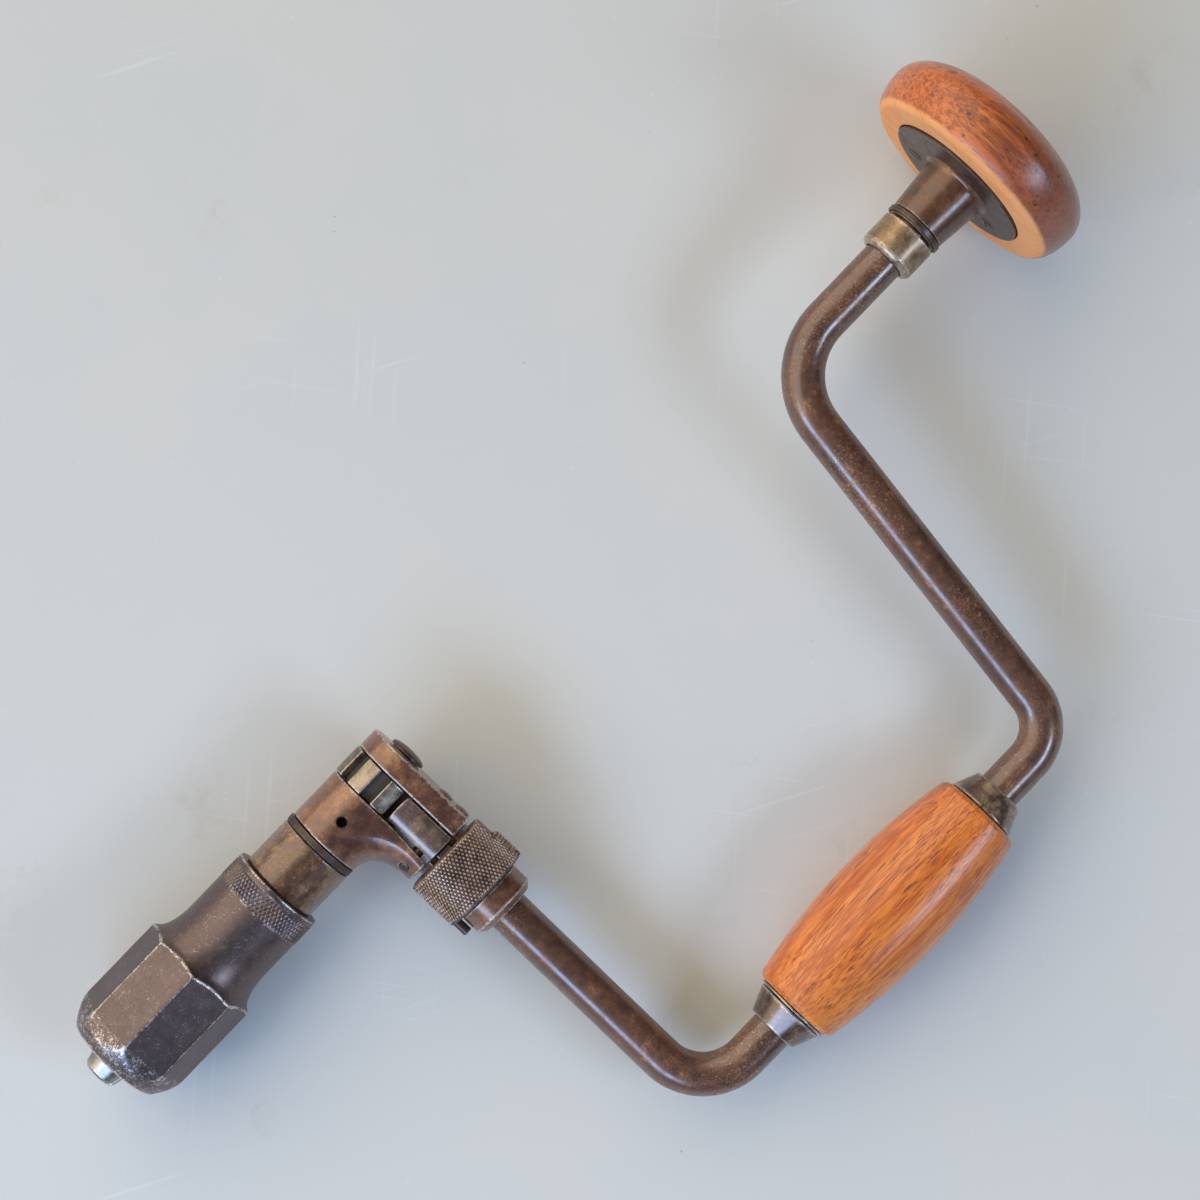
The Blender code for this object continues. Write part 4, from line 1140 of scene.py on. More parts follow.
class TreeSheet(Sheet):
    """A Geometry Nodes tree with named inputs, run once into a plain mesh."""

    SOCKETS = {int: "NodeSocketInt", float: "NodeSocketFloat"}

    def __init__(self, name: str, inputs: dict[str, object]) -> None:
        """Starts a tree.

        Args:
            name: The tree's name.
            inputs: Its inputs' values by name: whole numbers, numbers and materials.
        """
        self.group = bpy.data.node_groups.new(name, "GeometryNodeTree")
        super().__init__(self.group)
        self.values = inputs
        panel = self.group.interface
        panel.new_socket("Geometry", in_out="INPUT", socket_type="NodeSocketGeometry")
        for key, value in inputs.items():
            kind = self.SOCKETS.get(type(value), "NodeSocketMaterial")
            panel.new_socket(key, in_out="INPUT", socket_type=kind)
        panel.new_socket("Geometry", in_out="OUTPUT", socket_type="NodeSocketGeometry")
        self.start = self.node("NodeGroupInput")

    def given(self, name: str) -> Wire:
        """One of the tree's named inputs."""
        return Wire(self, self.start.outputs[name])

    def vector(self, x: Value, y: Value, z: Value) -> Wire:
        """A vector of three values."""
        return self.out("ShaderNodeCombineXYZ", None, {0: x, 1: y, 2: z})

    def place(self) -> tuple[Wire, Wire, Wire]:
        """The three coordinates of the point at hand.

        Returns:
            X, Y and Z.
        """
        here = self.out("GeometryNodeInputPosition")
        node = self.node("ShaderNodeSeparateXYZ", None, {0: here})
        x, y, z = (Wire(self, socket) for socket in node.outputs)
        return x, y, z

    def finish(self, geometry: Wire, smooth: bool) -> None:
        """Ends the tree in real geometry with its material.

        Args:
            geometry: What the tree has made.
            smooth: Whether its faces are shaded smooth.
        """
        real = self.out("GeometryNodeRealizeInstances", None, {0: geometry})
        sockets = {"Geometry": real, "Shade Smooth": smooth}
        shaded = self.out("GeometryNodeSetShadeSmooth", None, sockets)
        sockets = {"Geometry": shaded, "Material": self.given("Finish")}
        self.node("NodeGroupOutput", None, {0: self.out("GeometryNodeSetMaterial", None, sockets)})

    def run(self, name: str, axes: Axes, base: bpy.types.Mesh | None = None) -> bpy.types.Object:
        """Runs the tree.

        Args:
            name: The piece's name.
            axes: Where the tree's metres lie.
            base: A mesh that the tree starts from.

        Returns:
            The piece as a plain mesh at the origin.
        """
        carrier = bpy.data.objects.new(name + "_maker", base or bpy.data.meshes.new(name + "_maker"))
        bpy.context.scene.collection.objects.link(carrier)
        modifier = carrier.modifiers.new("tree", "NODES")
        modifier.node_group = self.group
        for item in self.group.interface.items_tree:
            if item.in_out == "INPUT" and item.name in self.values:
                modifier[item.identifier] = self.values[item.name]
        bpy.context.view_layer.update()
        graph = bpy.context.evaluated_depsgraph_get()
        mesh = bpy.data.meshes.new_from_object(carrier.evaluated_get(graph))
        carrier.modifiers.remove(modifier)
        bpy.data.objects.remove(carrier, do_unlink=True)
        mesh.name = name
        mesh.transform(axes.matrix)
        piece = bpy.data.objects.new(name, mesh)
        bpy.context.scene.collection.objects.link(piece)
        return piece


class Band(Enum):
    """What stands around a cylinder."""

    DIAMONDS = "diamonds"
    RIBS = "ribs"


@dataclass(frozen=True)
class Knurl:
    """Teeth rolled into a turned face.

    Attributes:
        band: The teeth's kind.
        radius: The cylinder under them, in millimetres.
        height: How far they stand up.
        start: Where the band starts along the axis.
        end: Where it ends.
        around: How many stand in a row.
        rows: How many rows there are.
        gap_depth: The X past which the band has a gap.
        gap_end: Where the gap ends along the axis.
        worn: How worn the tips are, as 1 for bare metal.
    """

    band: Band
    radius: float
    height: float
    start: float
    end: float
    around: int
    rows: int
    gap_depth: float = 1000.0
    gap_end: float = -1000.0
    worn: float = 1.1

    def build(self, name: str, axes: Axes, finish: bpy.types.Material) -> bpy.types.Object:
        """Makes the teeth.

        Args:
            name: The piece's name.
            axes: Axes whose Z is the cylinder's.
            finish: The teeth's material.

        Returns:
            The piece.
        """
        tree = TreeSheet(name + "_tree", {
            "Radius": self.radius * MM, "Height": self.height * MM, "Start": self.start * MM,
            "End": self.end * MM, "Around": self.around, "Rows": self.rows,
            "Gap Depth": self.gap_depth * MM, "Gap End": self.gap_end * MM, "Finish": finish,
        })
        radius, height = tree.given("Radius"), tree.given("Height")
        around, rows = tree.given("Around"), tree.given("Rows")
        pitch = (tree.given("End") - tree.given("Start")) / rows
        index = tree.out("GeometryNodeInputIndex")
        row = (index / around).maths("FLOOR")
        shift = row.maths("MODULO", 2.0) * 0.5
        turn = (index.maths("MODULO", around) + shift) * math.tau / around
        along = tree.given("Start") + (row + 0.5) * pitch
        spot = tree.vector(radius * turn.maths("COSINE"), radius * turn.maths("SINE"), along)
        points = tree.out("GeometryNodePoints", None, {"Count": around * rows, "Position": spot})
        facing = tree.vector(0.0, QUARTER, turn)
        stored = tree.out(
            "GeometryNodeStoreNamedAttribute", {"data_type": "FLOAT_VECTOR"},
            {"Geometry": points, "Name": "facing", "Value": facing},
        )
        way = tree.out(
            "GeometryNodeInputNamedAttribute", {"data_type": "FLOAT_VECTOR"}, {"Name": "facing"},
        )
        teeth = tree.out("GeometryNodeInstanceOnPoints", None, {
            "Points": self._without_gap(tree, stored), "Instance": self._tooth(tree),
            "Rotation": tree.out("FunctionNodeEulerToRotation", None, {0: way}),
            "Scale": tree.vector(pitch, radius * math.pi / around, height),
        })
        tree.finish(teeth, False)
        return tree.run(name, axes)

    @staticmethod
    def _without_gap(tree: TreeSheet, points: Wire) -> Wire:
        """Drops the points in the gap.

        Args:
            tree: The tree under construction.
            points: The points of all teeth.

        Returns:
            The points that stay.
        """
        x, _, z = tree.place()
        beyond = x.maths("GREATER_THAN", tree.given("Gap Depth"))
        before = z.maths("LESS_THAN", tree.given("Gap End"))
        sockets = {"Geometry": points, "Selection": beyond * before}
        return tree.out("GeometryNodeDeleteGeometry", None, sockets)

    def _tooth(self, tree: TreeSheet) -> Wire:
        """One tooth of unit size, with its tip worn and its foot marked for grime and painted shade.

        Args:
            tree: The tree under construction.

        Returns:
            The tooth.
        """
        if self.band is Band.DIAMONDS:
            tooth = tree.out(
                "GeometryNodeMeshCone", {"fill_type": "NGON"},
                {"Vertices": 4, "Radius Top": 0.34, "Radius Bottom": 1.0, "Depth": 1.0},
            )
        else:
            tooth = tree.out("GeometryNodeMeshCube", None, {"Size": (1.0, 1.0, 1.0)})
        # Tips get the worn mark; feet get -0.5, which the steel darkens as grime and painted shade between
        # the teeth.
        top = tree.place()[2].maths("GREATER_THAN", 0.3)
        return tree.out(
            "GeometryNodeStoreNamedAttribute", {"data_type": "FLOAT"},
            {"Geometry": tooth, "Name": WEAR, "Value": top * (self.worn + 0.5) - 0.5},
        )


@dataclass(frozen=True)
class Heads:
    """Round fastener heads in a circle or a line.

    Attributes:
        radius: A head's radius, in millimetres.
        height: How far it stands up.
        slot: The width of its screwdriver slot, or 0.
        spots: Where the heads sit.
    """

    radius: float
    height: float
    slot: float
    spots: tuple[Corner, ...]

    def build(self, name: str, axes: Axes, finish: bpy.types.Material) -> bpy.types.Object:
        """Makes the heads, domed along local Z.

        Args:
            name: The piece's name.
            axes: Axes whose Z points out of the face.
            finish: The heads' material.

        Returns:
            The piece.
        """
        tree = TreeSheet(name + "_tree", {
            "Radius": self.radius * MM, "Height": self.height * MM, "Slot": self.slot * MM,
            "Finish": finish,
        })
        radius, height, slot = tree.given("Radius"), tree.given("Height"), tree.given("Slot")
        ball = tree.out("GeometryNodeMeshUVSphere", None, {"Segments": 32, "Rings": 20, "Radius": 1.0})
        size = tree.vector(radius, radius, height)
        head = tree.out("GeometryNodeTransform", None, {"Geometry": ball, "Scale": size})
        if self.slot > 0:
            size = tree.vector(radius * 3.0, slot, height * 1.2)
            blade = tree.out("GeometryNodeMeshCube", None, {"Size": size})
            lift = tree.vector(0.0, 0.0, height)
            blade = tree.out("GeometryNodeTransform", None, {"Geometry": blade, "Translation": lift})
            head = tree.out(
                "GeometryNodeMeshBoolean", {"operation": "DIFFERENCE", "solver": "EXACT"},
                {"Mesh 1": head, "Mesh 2": blade},
            )
        turn = tree.out(
            "FunctionNodeRandomValue", {"data_type": "FLOAT"}, {"Max_001": math.tau, "Seed": 7},
            "Value_001",
        )
        rotation = tree.out("FunctionNodeEulerToRotation", None, {0: tree.vector(0.0, 0.0, turn)})
        heads = tree.out("GeometryNodeInstanceOnPoints", None, {
            "Points": tree.given("Geometry"), "Instance": head, "Rotation": rotation,
        })
        tree.finish(heads, self.slot <= 0)
        base = bpy.data.meshes.new(name + "_spots")
        base.from_pydata([Vector(spot) * MM for spot in self.spots], [], [])
        return tree.run(name, axes, base)


# --------------------------------------
# Sub-assemblies


@dataclass(frozen=True)
class Assembly:
    """A group of pieces and what they are built with.

    Attributes:
        layout: The axes of the joints.
        finishes: The materials.
        nodes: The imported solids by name.
    """

    layout: Layout
    finishes: Finishes
    nodes: dict[str, bpy.types.Object]

    def build(self) -> None:
        """Builds the group's pieces."""
        raise NotImplementedError

    def stand_in(self, piece: bpy.types.Object, body: str, slot: str, *nodes: str) -> None:
        """Lets a piece ride on a body and stand for its solids.

        Args:
            piece: The finished piece.
            body: The body that carries it.
            slot: The record's material slot; not used.
            nodes: The solids that it replaces.
        """
        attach(piece, body)
        if nodes:
            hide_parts(*nodes)
        LOG.info("%s rides on %s, %d faces", piece.name, body, len(piece.data.polygons))

    def add(
        self, shape: Shape, name: str, axes: Axes, finish: bpy.types.Material, body: str, slot: str,
        *nodes: str,
    ) -> None:
        """Places a shape and lets it stand for its solids.

        Args:
            shape: The piece's mesh.
            name: Its name.
            axes: Where its millimetres lie.
            finish: Its material.
            body: The body that carries it.
            slot: The record's material slot.
            nodes: The solids that it replaces.
        """
        self.stand_in(shape.placed(name, axes, finish), body, slot, *nodes)

    def dress(self, finish: bpy.types.Material, *nodes: str) -> None:
        """Gives a finish to solids that stay as they are.

        Args:
            finish: The material.
            nodes: The solids.
        """
        for node in nodes:
            slots = self.nodes[node].data.materials
            slots.clear()
            slots.append(finish)


@dataclass(frozen=True)
class Crank(Assembly):
    """The bent rod."""

    rod_radius: float = 6.2
    start: float = 40.2
    sweep: float = 127.0
    upper_corner: float = 143.4
    stem_corner: float = 161.2
    stem_end: float = 243.9
    bends: Corner = (17.0, 14.0, 23.0)  # The radii of the three bends.

    def build(self) -> None:
        """Sweeps the rod along its route."""
        tree = TreeSheet("crank_tree", {
            "Rod Radius": self.rod_radius * MM, "Bend Steps": 22, "Sides": 56,
            "Finish": self.finishes.patina,
        })
        route = tree.out("GeometryNodeMeshToCurve", None, {0: tree.given("Geometry")})
        bend = tree.out("GeometryNodeInputNamedAttribute", {"data_type": "FLOAT"}, {"Name": "bend"})
        curved = tree.out(
            "GeometryNodeFilletCurve", {"mode": "POLY"},
            {"Curve": route, "Count": tree.given("Bend Steps"), "Radius": bend},
        )
        section = tree.out("GeometryNodeCurvePrimitiveCircle", None, {
            "Resolution": tree.given("Sides"), "Radius": tree.given("Rod Radius"),
        })
        rod = tree.out("GeometryNodeCurveToMesh", None, {
            "Curve": curved, "Profile Curve": section, "Fill Caps": True,
        })
        tree.finish(rod, True)
        corners = [
            (0, -self.start, 0), (0, -self.sweep, 0), (self.upper_corner, -self.sweep, 0),
            (self.stem_corner, 0, 0), (self.stem_end, 0, 0),
        ]
        base = bpy.data.meshes.new("crank_route")
        base.from_pydata([Vector(c) * MM for c in corners], [(i, i + 1) for i in range(4)], [])
        radii = np.array((0.0, *self.bends, 0.0), np.float32) * MM
        marks = base.attributes.new("bend", "FLOAT", "POINT")
        marks.data.foreach_set("value", radii.astype(np.float32))
        piece = tree.run("crank", self.layout.tool, base)
        self.stand_in(piece, "frame", "patina_steel", "crank_rod")


@dataclass(frozen=True)
class GripHandle(Assembly):
    """The wooden grip with its ferrules and washer."""

    start: float = 36.0
    length: float = 75.5
    radius: float = 16.7
    end_radius: float = 13.1
    edge: float = 1.2
    bore: float = 6.5
    ferrule: Corner = (10.75, 7.6, 7.6)  # Wide end, narrow end, length.
    washer: Point2 = (11.2, 0.6)  # Radius, thickness.
    fit: float = 0.3

    def build(self) -> None:
        """Turns the grip and what holds it."""
        lathe, axes, finishes = Lathe(), self.layout.grip, self.finishes
        half, middle = self.length / 2, self.start + self.length / 2
        top, low = middle + half, middle - half
        lip = self.end_radius - self.edge
        grip = tube(self.bore, (lip, top, 0.5), *self._barrel(), (lip, low, 0.5), inside=0.2)
        self.add(lathe.turn(grip), "grip_barrel", axes, finishes.grip, "grip", "grip_wood", "grip")
        reach, thick = self.washer
        washer_top = low - self.fit
        washer_low = washer_top - thick
        washer = lathe.turn(tube(self.bore, (reach, washer_top, 0.2), (reach, washer_low, 0.2)))
        self.add(washer, "washer", axes, finishes.bright, "frame", "bright_steel", "grip_washer")
        wide, neck, length = self.ferrule
        seat = washer_low - self.fit
        lower = tube(self.bore, (wide, seat, 0.5), (neck, seat - length, 0.5))
        seat = top + self.fit
        upper = tube(self.bore, (neck, seat + length, 0.5), (wide, seat, 0.5))
        for label, ferrule in (("lower", lower), ("upper", upper)):
            self.add(
                lathe.turn(ferrule), label + "_ferrule", axes, finishes.ferrule, "frame", "patina_steel",
                "ferrule_" + label,
            )

    def _barrel(self) -> list[Corner]:
        """The grip's swelling side.

        Returns:
            The side's profile, from its top to its foot.
        """
        half, middle = self.length / 2, self.start + self.length / 2
        side: list[Corner] = []
        for i in range(41):
            along = 1 - i / 20
            swell = (self.radius - self.end_radius) * (1 - along * along)
            rounding = 0.9 if i in (0, 40) else 0.0
            side.append((self.end_radius + swell, middle + (half - self.edge) * along, rounding))
        return side


@dataclass(frozen=True)
class Head(Assembly):
    """The bearing collar, the quill with its flange, and the wooden pad."""

    bore: float = 6.5
    bearing: tuple[float, float, float, float] = (204.6, 10.4, 8.6, 1.8)  # Start, length, radius, edge.
    quill_start: float = 215.9
    quill_radius: float = 8.7
    quill_top_radius: float = 10.2
    band_length: float = 1.6
    band_radius: float = 9.05
    band_seat: float = 0.7
    flange_face: float = 234.3
    flange_top: float = 236.7
    flange_radius: float = 22.3
    pad_face: float = 235.1
    pad_top: float = 257.7
    pad_radius: float = 33.9
    pad_base_radius: float = 29.2
    pad_rim: float = 10.5
    dome_power: float = 0.62
    well_radius: float = 11.4
    well_roof: float = 244.8
    screw_circle: float = 16.4
    screw: Corner = (2.6, 0.45, 0.6)  # Radius, height, slot.
    fit: float = 0.3

    def build(self) -> None:
        """Turns the head's pieces."""
        axes, finishes = self.layout.main, self.finishes
        start, length, radius, edge = self.bearing
        end = start + length
        collar = Lathe().turn(tube(self.bore, (radius, end, 0.5), (radius, start, edge), inside=0.2))
        self.add(collar, "bearing", axes, finishes.nickel, "frame", "worn_nickel", "bearing_collar")
        self._build_quill()
        self._build_pad()
        self._build_screws()
        self.dress(finishes.bright, *(f"bearing_ball_{i}" for i in range(1, 9)))
        self.dress(finishes.dark, "stem_nut")

    def _build_quill(self) -> None:
        """Turns the quill and the band at its end."""
        lathe, axes, finishes = Lathe(), self.layout.main, self.finishes
        low = self.quill_start + self.fit
        band_end = low + self.band_length
        seat = self.quill_radius - self.band_seat
        flange = lathe.turn(tube(
            self.bore, (self.flange_radius, self.flange_top, 0.3),
            (self.flange_radius, self.flange_face, 0.15),
        ))
        self.add(flange, "flange", axes, finishes.dark, "head", "dark_steel")
        quill = lathe.turn(tube(
            self.bore, (self.quill_top_radius + 2.6, self.flange_face + 0.4, 0.0),
            (self.quill_top_radius, self.flange_face - 0.3, 1.9),
            (self.quill_radius, band_end + self.fit, 0.3), (seat, band_end + self.fit, 0.1),
            (seat, self.quill_start, 0.2),
        ))
        self.add(quill, "quill", axes, finishes.quill, "head", "dark_steel", "head_quill")
        band = lathe.turn(tube(
            seat + self.fit, (self.band_radius, band_end, 0.25), (self.band_radius, low, 0.25),
        ))
        self.add(band, "band", axes, finishes.dark, "head", "dark_steel", "quill_band")

    def _build_pad(self) -> None:
        """Turns the wooden pad."""
        rim = self.pad_face + self.pad_rim
        profile: list[Corner] = []
        for i in range(41):
            angle = QUARTER * (1 - i / 40)
            radius = self.pad_radius * math.cos(angle) ** self.dome_power if i else 0.0
            profile.append((radius, rim + (self.pad_top - rim) * math.sin(angle), 0.0))
        for i in range(1, 17):
            angle = QUARTER * i / 16
            radius = self.pad_base_radius + (self.pad_radius - self.pad_base_radius) * math.cos(angle)
            profile.append((radius, rim - self.pad_rim * math.sin(angle), 0.5 if i == 16 else 0.0))
        seat, floor = self.flange_radius + self.fit, self.flange_top + self.fit
        profile += [
            (seat, self.pad_face, 0.25), (seat, floor, 0.1), (self.well_radius, floor, 0.2),
            (self.well_radius, self.well_roof, 0.2), (0.0, self.well_roof, 0.0),
        ]
        pad = Lathe(128).turn(profile)
        self.add(pad, "pad", self.layout.main, self.finishes.pad, "head", "pad_wood", "head_pad")

    def _build_screws(self) -> None:
        """Sets three screws into the flange."""
        spots = []
        for i in range(3):
            across, along = polar(self.screw_circle, math.tau * (i + 0.5) / 3)
            spots.append((across, -along, 0.0))
        under = self.layout.main.moved(0, 0, self.flange_face + 0.05).turned(math.pi, "X")
        screws = Heads(*self.screw, tuple(spots)).build("flange_screws", under, self.finishes.dark)
        self.stand_in(screws, "head", "dark_steel", *(f"flange_screw_{i}" for i in (1, 2, 3)))


@dataclass(frozen=True)
class Bracket(Assembly):
    """The boss with its swept web, the upper plate and its rivets."""

    slot: float = 9.6
    boss_radius: float = 11.3
    boss_length: float = 16.8
    journal: float = 6.8
    end_height: float = 9.1
    web_round: Point2 = (14.6, 8.6)
    web_bulge: float = 0.7
    sweep_power: float = 0.8
    reach: float = 24.9
    tang_thickness: float = 6.8
    tang_relief: float = 1.2
    oil_hole: Corner = (1.45, 8.5, 7.2)  # Radius, distance from the slot, floor.
    plate_thickness: float = 6.3
    plate_bore: float = 5.3
    rivets: Point2 = (15.7, 21.9)  # Their distances from the main axis.
    rivet: Corner = (2.4, 0.8, 0.0)  # Radius, height, slot.
    pin_places: Point2 = (21.0, 6.2)  # Distance from the main axis, height.
    pin_radius: float = 1.4
    pin_clear: float = 0.16

    @property
    def face(self) -> float:
        """The slot's side towards the chuck, along the main axis."""
        return -self.slot / 2

    @property
    def front(self) -> float:
        """The boss's front, along the main axis."""
        return self.face - self.boss_length

    @property
    def back(self) -> float:
        """The plate's back, along the main axis."""
        return self.slot / 2 + self.plate_thickness

    def build(self) -> None:
        """Lays skins over the bracket, the pawl pins and the plate."""
        self._build_bracket()
        self._build_pins()
        self._build_plate()
        axes = self.layout.arm.turned(QUARTER, "Y")
        spots = tuple((-reach, 0.0, self.back + 0.1) for reach in self.rivets)
        rivets = Heads(*self.rivet, spots).build("plate_rivets", axes, self.finishes.bracket)
        self.stand_in(rivets, "frame", "bracket_steel", "plate_rivet_front", "plate_rivet_rear")

    def _build_bracket(self) -> None:
        """The boss and the web, in tool axes with the arm along -Y."""
        face, front, edge = self.face, self.front, 0.5

        def along_main(points: np.ndarray) -> np.ndarray:
            """Points in axes whose Z runs along the main axis."""
            return np.stack([-points[:, 2], points[:, 1], points[:, 0]], 1)

        inner = self.boss_radius - edge
        boss = Field.turned([
            (0.0, face - edge), (inner, face - edge), (inner, front + edge), (0.0, front + edge),
        ], edge).seen_from(along_main)
        solid = boss.joined(self._web(), 0.6).crossed(Field.slab(0, front, face), 0.3)
        solid = solid.cut(Field.rod((1, 2), (0.0, 0.0), self.journal), 0.3)
        radius, offset, floor = self.oil_hole
        hole = Field.rod((0, 1), (face - offset, 0.0), radius)
        solid = solid.cut(hole.crossed(Field.slab(2, floor, FAR), CRISP), 0.12)
        solid = solid.cut(self._pins().grown(self.pin_clear), CRISP)
        low = (front, -self.reach, -self.boss_radius)
        shape = Skin(0.3).over(solid, low, (face, self.boss_radius, self.boss_radius))
        # The oil hole's inside and rim are darkened: painted shade in the deep hole, with some grime.
        mouth = Field.rod((0, 1), (face - offset, 0.0), radius + 0.35)
        shape = shape.grimed_and_shaded_in(mouth.crossed(Field.slab(2, 0, FAR), CRISP))
        self.add(
            shape, "boss_and_web", self.layout.tool, self.finishes.bracket, "frame", "bracket_steel",
            "lower_bracket",
        )

    def _build_pins(self) -> None:
        """The pawl pins, whose ends follow the web."""
        back = self.back - 0.3
        ends = self._web().grown(0.15).joined(Field.slab(0, self.face - 1.0, back), CRISP)
        pins = self._pins().crossed(ends, 0.15).crossed(Field.slab(0, self.front, back), 0.15)
        reach, height = self.pin_places
        room = self.pin_radius + 0.6
        low = (self.front, -reach - room, -height - room)
        high = (back + 0.6, -reach + room, height + room)
        shape = Skin(0.22, margin=0.0).over(pins, low, high)
        self.add(
            shape, "pawl_pins", self.layout.tool, self.finishes.dark, "frame", "dark_steel",
            "pawl_pin_upper", "pawl_pin_lower",
        )

    def _pins(self) -> Field:
        """Two endless pins along the main axis.

        Returns:
            The pins in tool axes.
        """
        reach, height = self.pin_places
        upper, lower = (Field.rod((1, 2), (-reach, s * height), self.pin_radius) for s in (1, -1))
        return Field(lambda points: np.minimum(upper(points), lower(points)))

    def _lean(self) -> float:
        """The angle at which the bracket's and the plate's sides run down from the boss to the end."""
        span = math.hypot(self.reach, self.end_height)
        return math.atan2(self.reach, self.end_height) - math.acos(self.boss_radius / span)

    def _web(self) -> Field:
        """The web, round on its swept side and flat along the slot.

        Returns:
            The web in tool axes.
        """
        face = self.face
        outer = face - self.tang_relief - self.tang_thickness
        root = self.boss_radius + 0.3
        run = outer - (self.front + 0.3)
        past = 40.0
        outline = [(past, past), (-past - 20.0, past), (-past - 20.0, -root)]
        for i in range(17):
            angle = QUARTER * i / 16
            swept = self.reach - (self.reach - root) * math.cos(angle) ** self.sweep_power
            outline.append((outer - run * (1 - math.sin(angle)), -swept))
        outline += [(outer, -self.reach - past), (past, -self.reach - past)]
        side = Field.outline(outline, (0, 1))
        lean, radius = self._lean(), self.boss_radius
        wide, narrow = self.web_round

        def top_at(y: np.ndarray) -> np.ndarray:
            """The web's half height: the boss's own, then a straight side.

            Args:
                y: Places along the arm.

            Returns:
                The half heights there.
            """
            arch = np.sqrt(np.maximum(radius ** 2 - y ** 2, 0.01))
            straight = (radius + math.sin(lean) * y) / math.cos(lean)
            return np.where(y > -radius * math.sin(lean), arch, straight)

        def swept_side(points: np.ndarray) -> np.ndarray:
            """The swept side, an oval in every section.

            Args:
                points: Points in tool axes.

            Returns:
                Their distances.
            """
            top = top_at(points[:, 1]) + self.web_bulge
            oval = narrow + (wide - narrow) * np.clip(1 + points[:, 1] / self.reach, 0, 1)
            return rounded_max(side(points), (np.abs(points[:, 2]) - top) * oval / top, oval)

        flat = Field(lambda points: np.abs(points[:, 2]) - top_at(points[:, 1]))
        web = Field(swept_side).crossed(flat, 0.3)
        relief = (self.tang_relief - 0.1) / (self.reach - root)
        near, high, away = face - 0.1, 60.0, -90.0
        inner = Field.outline([
            (near, high), (near, -root), (near - relief * past, -root - past), (away, -root - past),
            (away, high),
        ], (0, 1))
        return web.crossed(inner, 0.25).crossed(Field.slab(1, -self.reach, 4.0), 0.5)

    def _build_plate(self) -> None:
        """The flat plate on the head side."""
        half, edge = self.end_height, 0.7
        wrap = QUARTER - self._lean()
        inner = self.boss_radius - edge
        outline = [(-self.reach + edge, -half + edge), (-self.reach + edge, half - edge)]
        for i in range(49):
            across, along = polar(inner, wrap + (math.tau - 2 * wrap) * i / 48)
            outline.append((-across, along))
        near, far = self.slot / 2, self.back
        solid = Field.outline(outline, (1, 2), edge).crossed(Field.slab(0, near, far), 0.45)
        solid = solid.cut(Field.rod((1, 2), (0.0, 0.0), self.plate_bore), 0.3)
        solid = solid.cut(self._pins().grown(self.pin_clear), CRISP)
        low = (near, -self.reach, -self.boss_radius)
        plate = Skin(0.28).over(solid, low, (far, self.boss_radius, self.boss_radius))
        self.add(
            plate, "plate", self.layout.tool, self.finishes.bracket, "frame", "bracket_steel",
            "upper_plate",
        )


